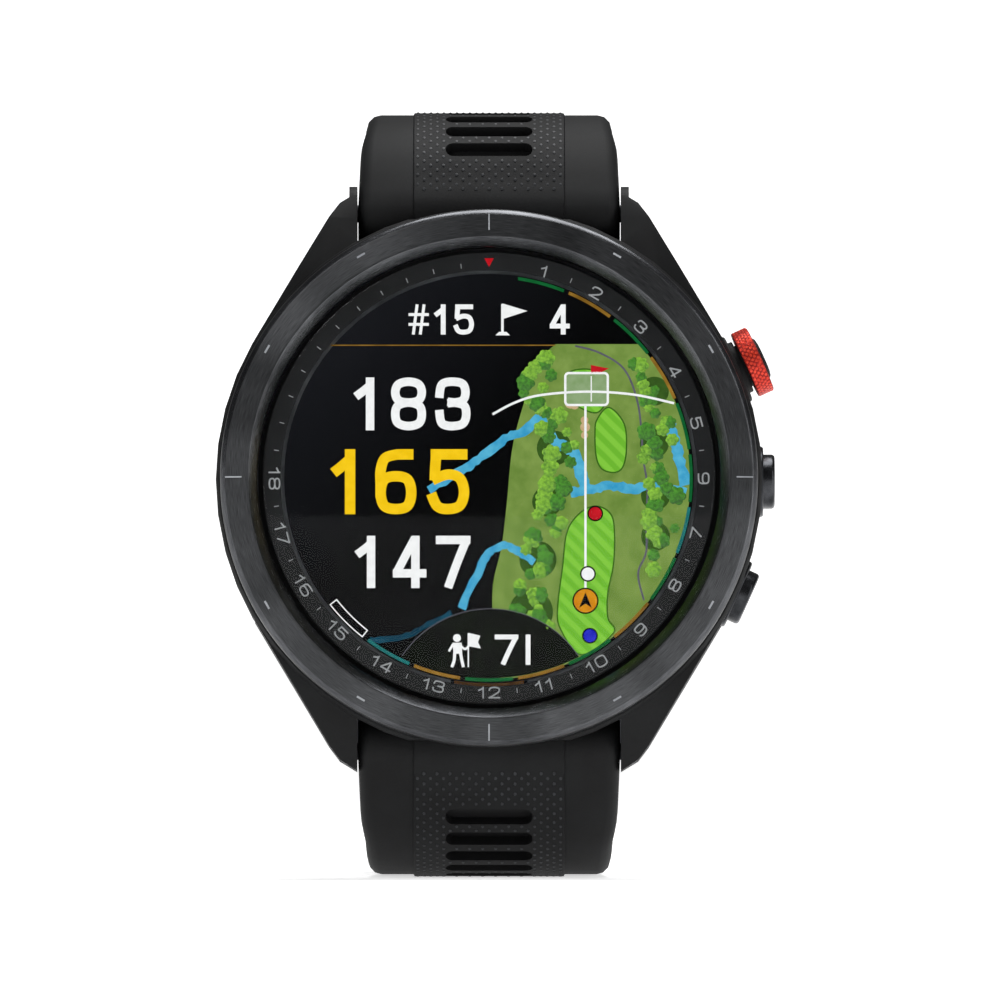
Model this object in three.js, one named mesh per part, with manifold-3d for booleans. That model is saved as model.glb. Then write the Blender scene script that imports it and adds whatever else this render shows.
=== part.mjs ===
// A golf GPS watch that stands upright on its opened silicone strap.
// Millimetres. x points to 3 o'clock, y backwards from the face and z up once the watch stands.
// Pieces of the head are drawn as (radius, depth) or (depth, height), with depth counted back
// from the crest of the bezel. Each strap is drawn along its own middle line.
import * as THREE from 'three';
import { mergeVertices } from 'three/addons/utils/BufferGeometryUtils.js';
import Module from 'manifold-3d';

const wasm = await Module();
wasm.setup();

// Clearances
const GAP = 0.3;
const STACK_GAP = 0.2;
const FIT_GAP = 0.25;
const SLIDE_GAP = 0.4;

// Case
const CASE_RADIUS = 23.5;
const CASE_HEIGHT = 7.3;
const CASE_WALL = 1.2;
const BEZEL_INSET = 0.4;
const BEZEL_HEIGHT = 3.1;
const BEZEL_FACE_WIDTH = 2.4;
const BEZEL_FACE_DROP = 0.45;
const LENS_SETBACK = 0.9;
const LENS_THICKNESS = 1.1;
const RING_THICKNESS = 0.25;
const CASE_LIP = 0.25;
const BACK_THICKNESS = 1.6;
const WINDOW_RADIUS = 8;
const WINDOW_RISE = 1.3;
const WINDOW_THICKNESS = 0.5;
const COVER_INSET = 1.2;
const SPIGOT_DEPTH = 1.1;
const SPIGOT_WIDTH = 1.6;
const SEAL = { depth: 0.75, height: 0.7, thickness: 0.4 };
const LEAN = THREE.MathUtils.degToRad(3.5);

// Inside the case
const DISPLAY_THICKNESS = 0.9;
const DISPLAY_MARGIN = 1.95;
const TRAY_THICKNESS = 0.9;
const BOARD_THICKNESS = 0.8;
const BOARD_MARGIN = 1.5;
const BATTERY = { width: 22, length: 17.6, thickness: 3.4, x: -4, y: 0 };
const SHIELD = { width: 7, length: 9, thickness: 1.3, x: 11.2, y: 0 };
const MOTOR = { radius: 4, thickness: 2.6, x: 6, y: 13.2 };
const FLEX = { width: 6, thickness: 0.2, reach: 4.5, inset: 0.75 };
const BOARD_RISE = 0.7;
const SENSOR = { width: 6, length: 4.8, height: 1, board: 0.6, below: 0.35 };
const ANTENNA = { thickness: 0.7, height: 4.2, start: 100, sweep: 65, rise: 0.5 };
const SCREW = { shaft: 0.5, head: 1, headHeight: 0.55, length: 3, socket: 0.45, inset: 1.4 };
const PORT = { width: 8, length: 5.4, x: 0, y: -13.6, wall: 0.7, floor: 0.8 };
const SCREW_HOLE_DEPTH = 2;
const CONTACT = { radius: 0.35, length: 1.7, pitch: 1.6, count: 4, sunk: 1.1 };

// Buttons, at the side of the case
const BUTTON_ANGLES = { upper: 24.5, middle: 0, lower: -24.5 };
const BUTTON_TRAVEL = 0.5;
const CAP_RADIUS = 2.35;
const CAP_PROUD = 1.1;
const STEM_RADIUS = 1;
const CAP_GAP = 0.2;
const CAP_EDGE = 0.25;
const GUARD_WALL = 0.25;
const GUARD_LIP = 0.25;
const GUARD_DEPTH = 2.1;
const SPRING_WIRE = 0.13;
const COLLAR_RADIUS = 2.975;
const COLLAR_WALL = 0.775;
const COLLAR_PROUD = 0.7;
const COLLAR_WIDTH = 1.46;
const COLLAR_CAP_PROUD = 2.5;

// Strap
const STRAP_WIDTH = 22;
const STRAP_END_WIDTH = 20;
const STRAP_TAPER_END = 28;
const STRAP_THICKNESS = 3.2;
const STRAP_ROOT_THICKNESS = 4.6;
const STRAP_ROOT_LENGTH = 14;
const STRAP_LEAVING_ANGLE = THREE.MathUtils.degToRad(75);
const BARREL_RADIUS = 2.7;
const PIN_RADIUS = 0.75;
const PIN_SEAT = 1.25;
const BOSS = { radius: 2.35, height: 0.7 };
const PIN_INSET = 0.3;
const PIN_DEPTH = 8;
const LUG_TIP_WIDTH = 2.4;
const LUG_SIDE_GAP = 0.35;
const STRAP_RISE = 8.3;
const STRAP_DROP = 11.4;
const BACK_BEND_RADIUS = 23;
const HANGING_LENGTH = 20;
const RESTING_LENGTH = 46;
const TAIL_BEND_RADIUS = 42;
const TAIL_TURN = THREE.MathUtils.degToRad(85);
const TIP_LENGTH = 9;
const STRAP_HOLES = { count: 11, pitch: 6.2, radius: 1.3, fromTip: 16 };
const CLAW = { width: 12, length: 4.2, radius: 1.7 };
const CLAW_SKIN = 0.1;
const LATCH = { width: 7, length: 3.2, thickness: 0.6, grip: 0.6, start: 0.4 };

// Buckle and keepers
const BUCKLE = { armWidth: 2, thickness: 2.2, reach: 11.5, crossbar: 2, heel: 1.7 };
const BAR_RADIUS = 0.6;
const BAR_SEAT = 0.8;
const END_BARREL_SWELL = 0.3;
const TONGUE = { width: 1.8, thickness: 1, ring: 1.55 };
const KEEPER = { wall: 1.2, length: 5, fixedAt: 6.5 };

// Fineness of round pieces
const LARGE = 48;
const MEDIUM = 32;
const SMALL = 16;

// Places that follow from the sizes above
const pinReach = CASE_RADIUS - PIN_INSET;
const pocketReach = pinReach - BARREL_RADIUS - GAP;
const cavityRadius = pocketReach - CASE_WALL;
const strapHalf = STRAP_WIDTH / 2;
const endHalf = STRAP_END_WIDTH / 2;
const lugInner = strapHalf + LUG_SIDE_GAP;
const pinHalf = lugInner + PIN_SEAT;
const buckleBarHalf = endHalf + SLIDE_GAP + BUCKLE.armWidth - BAR_SEAT;
const bezelRadius = CASE_RADIUS - BEZEL_INSET;
const lensRadius = cavityRadius + 0.55;
const lensSeat = lensRadius + GAP;
const lensBack = LENS_SETBACK + LENS_THICKNESS;
const ringFront = lensBack + STACK_GAP;
const ringBack = ringFront + RING_THICKNESS;
const caseFront = BEZEL_HEIGHT + GAP;
const caseBack = caseFront + CASE_HEIGHT;
const flangeBack = PIN_DEPTH - BARREL_RADIUS - GAP;
const trayBack = caseFront + TRAY_THICKNESS;
const boardFront = trayBack + BOARD_RISE;
const boardBack = boardFront + BOARD_THICKNESS;
const boardRadius = cavityRadius - BOARD_MARGIN;
const displayRadius = lensRadius - DISPLAY_MARGIN;
const displayBack = ringFront + DISPLAY_THICKNESS;
const ringInner = displayRadius + GAP;
const coverFront = caseBack + GAP;
const coverBack = coverFront + BACK_THICKNESS;
const coverRadius = CASE_RADIUS - COVER_INSET;
const spigotFront = coverFront - SPIGOT_DEPTH;
const spigotRadius = cavityRadius - GAP;
const screwRing = cavityRadius + SCREW.inset;
const buttonDepth = caseFront + CASE_HEIGHT / 2;
const cupRadius = CAP_RADIUS + CAP_GAP;
const cupOuter = cupRadius + GUARD_WALL;
const guardFlange = cupOuter + GUARD_LIP;
const windowBase = coverBack - WINDOW_THICKNESS;
const endBarrelRadius = STRAP_THICKNESS / 2 + END_BARREL_SWELL;

// Finishes
const FINISH = {
  matteBlack: { color: 0x17181a, roughness: 0.62, metalness: 0 },
  brushedGrey: { color: 0x45464a, roughness: 0.32, metalness: 1 },
  glass: { color: 0x0b0c0e, roughness: 0.05, metalness: 0 },
  blackSeal: { color: 0x101010, roughness: 0.8, metalness: 0 },
  screen: { color: 0x3d6b22, roughness: 0.3, metalness: 0 },
  magnesium: { color: 0x8b8d90, roughness: 0.5, metalness: 1 },
  amberFilm: { color: 0xb06a1c, roughness: 0.4, metalness: 0 },
  boardGreen: { color: 0x124a32, roughness: 0.5, metalness: 0 },
  shieldSteel: { color: 0xb4b6b8, roughness: 0.35, metalness: 1 },
  foil: { color: 0xa9abad, roughness: 0.45, metalness: 1 },
  gold: { color: 0xc8a24a, roughness: 0.3, metalness: 1 },
  darkSteel: { color: 0x2c2d30, roughness: 0.35, metalness: 1 },
  red: { color: 0xc42414, roughness: 0.4, metalness: 0.2 },
  silicone: { color: 0x151617, roughness: 0.7, metalness: 0 },
  sensorWhite: { color: 0xd8d9d2, roughness: 0.5, metalness: 0 },
};

// ---------------------------------------------------------------- closed solids

// Joins the seams of a geometry, drops its empty triangles and turns its faces outwards.
function closed(geometry) {
  const bare = geometry.clone();
  bare.deleteAttribute('normal');
  bare.deleteAttribute('uv');
  const merged = mergeVertices(bare, 1e-4);
  const points = merged.attributes.position;
  const index = merged.index.array;
  const faces = [];
  let volume = 0;
  const corner = [new THREE.Vector3(), new THREE.Vector3(), new THREE.Vector3()];
  for (let i = 0; i < index.length; i += 3) {
    const [a, b, c] = [index[i], index[i + 1], index[i + 2]];
    if (a === b || b === c || c === a) continue;
    faces.push([a, b, c]);
    corner.forEach((point, k) => point.fromBufferAttribute(points, [a, b, c][k]));
    volume += corner[0].dot(corner[1].clone().cross(corner[2]));
  }
  const turned = volume < 0 ? faces.map(([a, b, c]) => [a, c, b]) : faces;
  const result = new THREE.BufferGeometry();
  result.setAttribute('position', points);
  result.setIndex(turned.flat());
  return result;
}

function toSolid(geometry) {
  const shape = closed(geometry);
  const vertProperties = Float32Array.from(shape.attributes.position.array);
  const triVerts = Uint32Array.from(shape.index.array);
  return new wasm.Manifold(new wasm.Mesh({ numProp: 3, vertProperties, triVerts }));
}

function toGeometry(solid) {
  const mesh = solid.getMesh();
  const geometry = new THREE.BufferGeometry();
  geometry.setAttribute('position', new THREE.BufferAttribute(mesh.vertProperties, 3));
  geometry.setIndex(Array.from(mesh.triVerts));
  return geometry;
}

const joined = (...shapes) => toGeometry(shapes.map(toSolid).reduce((a, b) => a.add(b)));
const cut = (shape, ...tools) => {
  return toGeometry(tools.map(toSolid).reduce((a, b) => a.subtract(b), toSolid(shape)));
};
const common = (a, b) => toGeometry(toSolid(a).intersect(toSolid(b)));

// ---------------------------------------------------------------- shapes

const outline = (points) => new THREE.Shape(points.map(([x, y]) => new THREE.Vector2(x, y)));

// A ring or disc turned about the face's axis from (radius, depth) points.
function turned(points, segments) {
  const profile = points.map(([r, depth]) => new THREE.Vector2(r, -depth));
  const isRing = points.every(([r]) => r > 0);
  if (isRing) profile.push(profile[0].clone());
  return closed(new THREE.LatheGeometry(profile, segments).rotateX(Math.PI / 2));
}

// The same about a button's axis, from (radius, distance out from the watch's centre) points.
function turnedOutwards(points, segments = SMALL) {
  const profile = points.map(([r, out]) => new THREE.Vector2(r, out));
  const isRing = points.every(([r]) => r > 0);
  if (isRing) profile.push(profile[0].clone());
  return closed(new THREE.LatheGeometry(profile, segments).rotateZ(-Math.PI / 2));
}

// A box given by its lowest and highest corner as [x, y, depth].
function block([x0, y0, front], [x1, y1, back]) {
  const box = new THREE.BoxGeometry(x1 - x0, y1 - y0, back - front);
  return box.translate((x0 + x1) / 2, (y0 + y1) / 2, -(front + back) / 2);
}

// A round rod across the watch, centred on (depth, height).
function crossRod(radius, x0, x1, [depth, height] = [0, 0]) {
  const rod = new THREE.CylinderGeometry(radius, radius, x1 - x0, SMALL).rotateZ(Math.PI / 2);
  return rod.translate((x0 + x1) / 2, height, -depth);
}

// A round rod along the depth, centred on (x, y).
function depthRod(radius, front, back, [x, y] = [0, 0], segments = SMALL) {
  const rod = new THREE.CylinderGeometry(radius, radius, back - front, segments).rotateX(Math.PI / 2);
  return rod.translate(x, y, -(front + back) / 2);
}

// An outline of (depth, height) points pulled across the watch from x0 to x1.
function pulledAcross(points, x0, x1) {
  const bar = new THREE.ExtrudeGeometry(outline(points), { depth: x1 - x0, bevelEnabled: false });
  return bar.rotateY(Math.PI / 2).translate(x0, 0, 0);
}

// An outline of (x, y) points pulled along the depth.
function pulledBack(shape, front, back) {
  const options = { depth: back - front, bevelEnabled: false, curveSegments: 8 };
  return new THREE.ExtrudeGeometry(shape, options).translate(0, 0, -back);
}

function piece(name, geometry, finish) {
  const mesh = new THREE.Mesh(closed(geometry), new THREE.MeshStandardMaterial(FINISH[finish]));
  mesh.name = name;
  return mesh;
}

// ---------------------------------------------------------------- case

// One lug at the upper right: its outer side runs straight from the case to the tip.
function lug() {
  const corner = [lugInner + LUG_TIP_WIDTH, pinReach - 0.4];
  const distance = Math.hypot(...corner);
  const angle = Math.atan2(corner[1], corner[0]) - Math.acos(CASE_RADIUS / distance);
  const tangent = [CASE_RADIUS * Math.cos(angle), CASE_RADIUS * Math.sin(angle)];
  const inside = (CASE_RADIUS + cavityRadius) / 2 / CASE_RADIUS;
  const root = Math.sqrt(Math.max((CASE_RADIUS - 2) ** 2 - lugInner ** 2, 1));
  const plan = outline([
    tangent, corner, [corner[0] - 0.9, pinReach + 0.8], [lugInner, pinReach + 1.75],
    [lugInner, root], [tangent[0] * inside, tangent[1] * inside],
  ]);
  const front = caseFront + 0.5;
  const nose = pinReach + 2.2;
  const side = [
    [front, 0], [front, pinReach - 5], [front + 1, pinReach - 0.6], [front + 2.2, nose - 0.7],
    [PIN_DEPTH - 0.6, nose], [PIN_DEPTH + 1, nose - 0.2], [caseBack - 0.7, nose - 1.2],
    [caseBack, pinReach - 1], [caseBack, 0],
  ];
  return common(pulledBack(plan, front, caseBack), pulledAcross(side, 0, corner[0] + CASE_RADIUS));
}

function fourCorners(geometry) {
  const flips = [[1, 1], [-1, 1], [1, -1], [-1, -1]];
  return flips.map(([x, y]) => {
    return geometry.clone().applyMatrix4(new THREE.Matrix4().makeScale(x, y, 1));
  });
}

function buttonFrame(angle) {
  const turn = new THREE.Matrix4().makeRotationZ(THREE.MathUtils.degToRad(angle));
  return new THREE.Matrix4().makeTranslation(0, 0, -buttonDepth).multiply(turn);
}

// The stepped hole that holds a button's guard.
function buttonHole(angle) {
  const [inside, outside] = [cavityRadius - 1.5, CASE_RADIUS + 3];
  const [neck, cup, flange] = [neckRadius + GAP, cupOuter + FIT_GAP, guardFlange + FIT_GAP];
  return turnedOutwards([
    [0, inside], [neck, inside], [neck, cupBack - GAP], [cup, cupBack - GAP],
    [cup, flangeStart - GAP], [flange, flangeStart - GAP], [flange, outside], [0, outside],
  ]).applyMatrix4(buttonFrame(angle));
}

function strapPocket(side, front, start) {
  const reach = CASE_RADIUS + 8;
  const low = side > 0 ? start : -reach;
  const high = side > 0 ? reach : -start;
  return block([-lugInner, low, front], [lugInner, high, coverBack + 3]);
}

const pockets = [1, -1].flatMap((side) => [
  strapPocket(side, flangeBack, pocketReach),
  strapPocket(side, caseFront - 1, pinReach - 0.8),
]);

const screwPlaces = [45, 135, 225, 315].map((degrees) => {
  const angle = THREE.MathUtils.degToRad(degrees);
  return [screwRing * Math.cos(angle), screwRing * Math.sin(angle)];
});

function mainHousing() {
  const ring = turned([
    [cavityRadius, caseFront], [CASE_RADIUS - CASE_LIP, caseFront], [CASE_RADIUS, caseFront + 0.4],
    [CASE_RADIUS, caseBack - 2.2], [CASE_RADIUS - 0.9, caseBack], [cavityRadius, caseBack],
  ], LARGE);
  const bosses = [-1, 1].map((side) => {
    const ends = [side * lugInner, side * (lugInner + BOSS.height)].sort((a, b) => a - b);
    return crossRod(BOSS.radius, ...ends, [PIN_DEPTH, pinReach]);
  });
  const pinLength = pinHalf + GAP;
  const pinHoles = [1, -1].map((side) => {
    return crossRod(PIN_RADIUS + GAP, -pinLength, pinLength, [PIN_DEPTH, side * pinReach]);
  });
  const screwHoles = screwPlaces.map((place) => {
    return depthRod(SCREW.shaft + GAP, caseBack - SCREW_HOLE_DEPTH, caseBack + 1, place);
  });
  const buttonHoles = Object.values(BUTTON_ANGLES).map(buttonHole);
  const body = joined(ring, ...fourCorners(lug()), ...bosses);
  return cut(body, ...pockets, ...pinHoles, ...screwHoles, ...buttonHoles);
}

function bezelRing() {
  const crest = bezelRadius - BEZEL_FACE_WIDTH;
  return turned([
    [lensSeat, LENS_SETBACK], [crest, 0], [bezelRadius - 0.35, BEZEL_FACE_DROP],
    [bezelRadius, BEZEL_FACE_DROP + 0.35], [bezelRadius, BEZEL_HEIGHT], [lensSeat, BEZEL_HEIGHT],
  ], LARGE);
}

function coverLens() {
  return turned([
    [0, LENS_SETBACK], [lensRadius - 0.15, LENS_SETBACK], [lensRadius, LENS_SETBACK + 0.15],
    [lensRadius, lensBack], [0, lensBack],
  ], LARGE);
}

const flatRing = (inner, outer, front, back, segments = LARGE) =>
  turned([[inner, front], [outer, front], [outer, back], [inner, back]], segments);

const flatDisc = (radius, front, back, segments = LARGE) =>
  turned([[0, front], [radius, front], [radius, back], [0, back]], segments);

function displayTray() {
  const slot = FLEX.width / 2 + GAP;
  const start = -(cavityRadius - FLEX.reach - 1.8);
  return cut(flatDisc(cavityRadius - GAP, caseFront, trayBack, MEDIUM),
    block([-slot, -cavityRadius - 1, caseFront - 1], [slot, start, trayBack + 1]));
}

// The ribbon that leaves the display, rounds the edge of the board and lands behind it.
function displayFlex() {
  const outer = -(cavityRadius - FLEX.inset);
  const inner = outer + FLEX.thickness;
  const landing = boardBack + SLIDE_GAP;
  const start = outer + FLEX.reach;
  const [frontInside, landingBack] = [caseFront + FLEX.thickness, landing + FLEX.thickness];
  const profile = [
    [caseFront, start], [caseFront, outer], [landingBack, outer], [landingBack, start],
    [landing, start], [landing, inner], [frontInside, inner], [frontInside, start],
  ];
  return pulledAcross(profile, -FLEX.width / 2, FLEX.width / 2);
}

function roundedBlock({ width, length, thickness, x, y }, front, corner) {
  const shape = new THREE.Shape();
  const [w, h] = [width / 2 - corner, length / 2 - corner];
  shape.absarc(x + w, y + h, corner, 0, Math.PI / 2);
  shape.absarc(x - w, y + h, corner, Math.PI / 2, Math.PI);
  shape.absarc(x - w, y - h, corner, Math.PI, Math.PI * 1.5);
  shape.absarc(x + w, y - h, corner, Math.PI * 1.5, Math.PI * 2);
  const options = { depth: thickness, bevelEnabled: false, curveSegments: 3 };
  return new THREE.ExtrudeGeometry(shape, options).translate(0, 0, -front - thickness);
}

function antennaStrip() {
  const outer = cavityRadius - SLIDE_GAP;
  const start = THREE.MathUtils.degToRad(ANTENNA.start);
  const end = start + THREE.MathUtils.degToRad(ANTENNA.sweep);
  const shape = new THREE.Shape();
  shape.absarc(0, 0, outer, start, end, false);
  shape.absarc(0, 0, outer - ANTENNA.thickness, end, start, true);
  const front = trayBack + ANTENNA.rise;
  return pulledBack(shape, front, front + ANTENNA.height);
}

function backCover() {
  const grooveFront = spigotFront + (SPIGOT_DEPTH - SEAL.height) / 2;
  const grooveBack = grooveFront + SEAL.height;
  const grooveRadius = spigotRadius - SEAL.depth;
  const wallRadius = spigotRadius - SPIGOT_WIDTH;
  const plate = turned([
    [0, coverFront], [wallRadius, coverFront], [wallRadius, spigotFront],
    [spigotRadius, spigotFront], [spigotRadius, grooveFront], [grooveRadius, grooveFront],
    [grooveRadius, grooveBack], [spigotRadius, grooveBack], [spigotRadius, coverFront],
    [coverRadius, coverFront], [coverRadius, coverBack - 0.7], [coverRadius - 0.5, coverBack],
    [0, coverBack],
  ], LARGE);
  const [front, back] = [coverFront - 1, coverBack + 1];
  const [halfWidth, halfLength] = [PORT.width / 2 + GAP, PORT.length / 2 + GAP];
  const screwHoles = screwPlaces.flatMap((place) => [
    depthRod(SCREW.shaft + GAP, front, back, place, 12),
    depthRod(SCREW.head + GAP, coverBack - SCREW.headHeight - GAP, back, place, 16),
  ]);
  const windowHole = depthRod(WINDOW_RADIUS + GAP, front, back, [0, 0], MEDIUM);
  const portHole = block([PORT.x - halfWidth, PORT.y - halfLength, front],
    [PORT.x + halfWidth, PORT.y + halfLength, back]);
  return cut(plate, ...pockets, ...screwHoles, windowHole, portHole);
}

function sensorWindow() {
  const dome = [0.98, 0.9, 0.72, 0.45].map((share) => {
    return [WINDOW_RADIUS * share, coverBack + WINDOW_RISE * Math.sqrt(1 - share ** 2) ** 0.6];
  });
  return turned([[0, windowBase], [WINDOW_RADIUS, windowBase], [WINDOW_RADIUS, coverBack + 0.1], ...dome,
    [0, coverBack + WINDOW_RISE]], MEDIUM);
}

function chargePort() {
  const { width, length, x, y, wall, floor } = PORT;
  const [front, back] = [coverFront - 0.6, coverBack - 0.1];
  const body = block([x - width / 2, y - length / 2, front], [x + width / 2, y + length / 2, back]);
  const recess = block([x - width / 2 + wall, y - length / 2 + wall, front + floor],
    [x + width / 2 - wall, y + length / 2 - wall, back + 1]);
  const holes = contactPlaces.map((place) => {
    return depthRod(CONTACT.radius + FIT_GAP, front - 1, back + 1, place, 12);
  });
  return cut(body, recess, ...holes);
}

const contactPlaces = Array.from({ length: CONTACT.count }, (_, i) => {
  return [PORT.x + (i - (CONTACT.count - 1) / 2) * CONTACT.pitch, PORT.y];
});

function backScrew(place) {
  const headFront = coverBack - SCREW.headHeight;
  const top = coverBack - 0.05;
  const rod = depthRod(SCREW.shaft, headFront - SCREW.length, headFront + 0.1, place, 12);
  const head = depthRod(SCREW.head, headFront, top, place, 16);
  return cut(joined(rod, head), depthRod(SCREW.socket, top - 0.4, top + 1, place, 6));
}

// ---------------------------------------------------------------- buttons

// Distances out from the watch's centre along a button's axis.
const flangeStart = CASE_RADIUS - 0.55;
const guardEnd = CASE_RADIUS + COLLAR_PROUD - BUTTON_TRAVEL - 0.1;
const cupFloor = CASE_RADIUS - GUARD_DEPTH;
const cupBack = cupFloor - 0.5;
const neckStart = cavityRadius + GAP;
const neckRadius = STEM_RADIUS + 1.1;
const boreRadius = STEM_RADIUS + 0.5;
const headStart = cupFloor + 1.5;
const stemEnd = cavityRadius - 1;
const oRingAt = neckStart + 1.1;
const clipAt = neckStart - 0.45;
const grooveRadius = STEM_RADIUS - 0.35;
const capReach = CASE_RADIUS + CAP_PROUD;
const collarStart = CASE_RADIUS + COLLAR_PROUD;
const collarCapReach = CASE_RADIUS + COLLAR_CAP_PROUD;

function buttonGuard() {
  return turnedOutwards([
    [boreRadius, neckStart], [neckRadius, neckStart], [neckRadius, cupBack], [cupOuter, cupBack],
    [cupOuter, flangeStart], [guardFlange, flangeStart], [guardFlange, guardEnd],
    [cupRadius, guardEnd], [cupRadius, cupFloor], [boreRadius, cupFloor],
  ]);
}

const stemProfile = [
  [0, stemEnd], [STEM_RADIUS, stemEnd], [STEM_RADIUS, clipAt - 0.3], [grooveRadius, clipAt - 0.3],
  [grooveRadius, clipAt + 0.3], [STEM_RADIUS, clipAt + 0.3], [STEM_RADIUS, oRingAt - 0.4],
  [grooveRadius, oRingAt - 0.4], [grooveRadius, oRingAt + 0.4], [STEM_RADIUS, oRingAt + 0.4],
  [STEM_RADIUS, headStart], [CAP_RADIUS, headStart],
];

function plainCap() {
  return turnedOutwards([...stemProfile, [CAP_RADIUS, capReach - CAP_EDGE],
    [CAP_RADIUS - CAP_EDGE, capReach], [0, capReach]]);
}

function collaredCap() {
  const core = COLLAR_RADIUS - COLLAR_WALL - GAP;
  const shoulder = collarStart - STACK_GAP;
  return turnedOutwards([...stemProfile, [CAP_RADIUS, shoulder], [core, shoulder],
    [core, collarCapReach - 0.35], [core - 0.5, collarCapReach - 0.08], [0, collarCapReach]]);
}

function redCollar() {
  const inner = COLLAR_RADIUS - COLLAR_WALL;
  const end = collarStart + COLLAR_WIDTH;
  return turnedOutwards([
    [inner, collarStart], [COLLAR_RADIUS - 0.15, collarStart], [COLLAR_RADIUS, collarStart + 0.15],
    [COLLAR_RADIUS, end - 0.2], [COLLAR_RADIUS - 0.2, end], [inner, end],
  ], 24);
}

function oRing() {
  const ring = new THREE.TorusGeometry(STEM_RADIUS + 0.1, 0.17, 4, 14);
  return ring.rotateY(Math.PI / 2).translate(oRingAt, 0, 0);
}

// The snap ring that keeps the stem from being pulled out.
function stemClip() {
  const mouth = THREE.MathUtils.degToRad(35);
  const shape = new THREE.Shape();
  shape.absarc(0, 0, STEM_RADIUS + 0.8, mouth, Math.PI * 2 - mouth, false);
  shape.absarc(0, 0, STEM_RADIUS - 0.12, Math.PI * 2 - mouth, mouth, true);
  const thickness = 0.26;
  const options = { depth: thickness, bevelEnabled: false, curveSegments: 7 };
  const ring = new THREE.ExtrudeGeometry(shape, options);
  return ring.translate(0, 0, -thickness / 2).rotateY(Math.PI / 2).translate(clipAt, 0, 0);
}

class Coil extends THREE.Curve {
  constructor(radius, pitch, turns) {
    super();
    Object.assign(this, { radius, pitch, turns });
  }

  getPoint(t) {
    const angle = t * this.turns * Math.PI * 2;
    const [along, { radius }] = [t * this.turns * this.pitch, this];
    return new THREE.Vector3(along, radius * Math.cos(angle), radius * Math.sin(angle));
  }
}

function buttonSpring() {
  const turns = 2;
  const room = headStart - cupFloor - 2 * STACK_GAP - 2 * SPRING_WIRE;
  const section = new THREE.Shape().absarc(0, 0, SPRING_WIRE, 0, Math.PI * 2);
  const path = new Coil(STEM_RADIUS + 0.75, room / turns, turns);
  const coil = new THREE.ExtrudeGeometry(section, { steps: 16, extrudePath: path, curveSegments: 3 });
  return coil.translate(cupFloor + STACK_GAP + SPRING_WIRE, 0, 0);
}

function buttonSwitch() {
  const front = stemEnd - BUTTON_TRAVEL - GAP;
  const body = new THREE.BoxGeometry(1.4, 3.4, 1.9).translate(front - 1, 0, 0);
  const plunger = [[0, front - 0.5], [0.6, front - 0.5], [0.6, front], [0, front]];
  return joined(body, turnedOutwards(plunger, 12));
}

function buttonPieces(place, angle) {
  const group = new THREE.Group();
  group.applyMatrix4(buttonFrame(angle));
  const isUpper = place === 'upper';
  group.add(
    piece(`button_guard_${place}`, buttonGuard(), isUpper ? 'matteBlack' : 'darkSteel'),
    piece(`button_cap_${place}`, isUpper ? collaredCap() : plainCap(), 'darkSteel'),
    piece(`button_spring_${place}`, buttonSpring(), 'shieldSteel'),
    piece(`button_o_ring_${place}`, oRing(), 'blackSeal'),
    piece(`button_clip_${place}`, stemClip(), 'shieldSteel'),
    piece(`button_switch_${place}`, buttonSwitch(), 'shieldSteel'),
  );
  if (isUpper) group.add(piece('button_collar_upper', redCollar(), 'red'));
  return group;
}

// ---------------------------------------------------------------- straps

// A strap's middle line in the (depth, height) plane: arcs and straights that follow on.
class StrapLine {
  constructor([depth, height], heading, side) {
    this.side = side;
    this.legs = [];
    this.end = { depth, height, heading };
    this.length = 0;
  }

  leg(length, turn) {
    this.legs.push({ start: this.length, length, turn, from: this.end });
    this.length += length;
    this.end = this.at(this.length);
    return this;
  }

  at(s) {
    const leg = this.legs.find((each) => s <= each.start + each.length) ?? this.legs.at(-1);
    const { depth, height, heading } = leg.from;
    const along = s - leg.start;
    const angle = leg.turn * along / leg.length;
    const chord = angle === 0 ? along : along * Math.sin(angle / 2) / (angle / 2);
    const direction = heading + angle / 2;
    return {
      depth: depth + chord * Math.cos(direction),
      height: height + chord * Math.sin(direction),
      heading: heading + angle,
    };
  }

  // Places a piece drawn with its depth along the strap and its height off it.
  frameAt(s) {
    const { depth, height, heading } = this.at(s);
    const turn = new THREE.Matrix4().makeRotationX(heading);
    return new THREE.Matrix4().makeTranslation(0, height, -depth).multiply(turn);
  }
}

const leaning = (depth, height) => [
  depth * Math.cos(LEAN) + height * Math.sin(LEAN),
  height * Math.cos(LEAN) - depth * Math.sin(LEAN),
];

function shortStrapLine() {
  const pin = leaning(PIN_DEPTH, pinReach);
  const heading = STRAP_LEAVING_ANGLE - LEAN;
  const crest = pinReach + STRAP_RISE - STRAP_THICKNESS / 2;
  const radius = (crest - pin[1]) / (1 - Math.cos(heading));
  return new StrapLine(pin, heading, 1)
    .leg(radius * heading, -heading)
    .leg(BACK_BEND_RADIUS * Math.PI / 2, -Math.PI / 2)
    .leg(HANGING_LENGTH, 0);
}

function longStrapLine() {
  const pin = leaning(PIN_DEPTH, -pinReach);
  const heading = STRAP_LEAVING_ANGLE + LEAN;
  const floor = pinReach + STRAP_DROP - STRAP_THICKNESS / 2;
  const radius = (floor + pin[1]) / (1 - Math.cos(heading));
  return new StrapLine(pin, -heading, -1)
    .leg(radius * heading, heading)
    .leg(RESTING_LENGTH, 0)
    .leg(TAIL_BEND_RADIUS * TAIL_TURN, TAIL_TURN);
}

const mix = (a, b, share) => a + (b - a) * Math.min(Math.max(share, 0), 1);
const widthAt = (s) => mix(STRAP_WIDTH, STRAP_END_WIDTH, s / STRAP_TAPER_END);
const thicknessAt = (s) => mix(STRAP_ROOT_THICKNESS, STRAP_THICKNESS, s / STRAP_ROOT_LENGTH);

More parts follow.
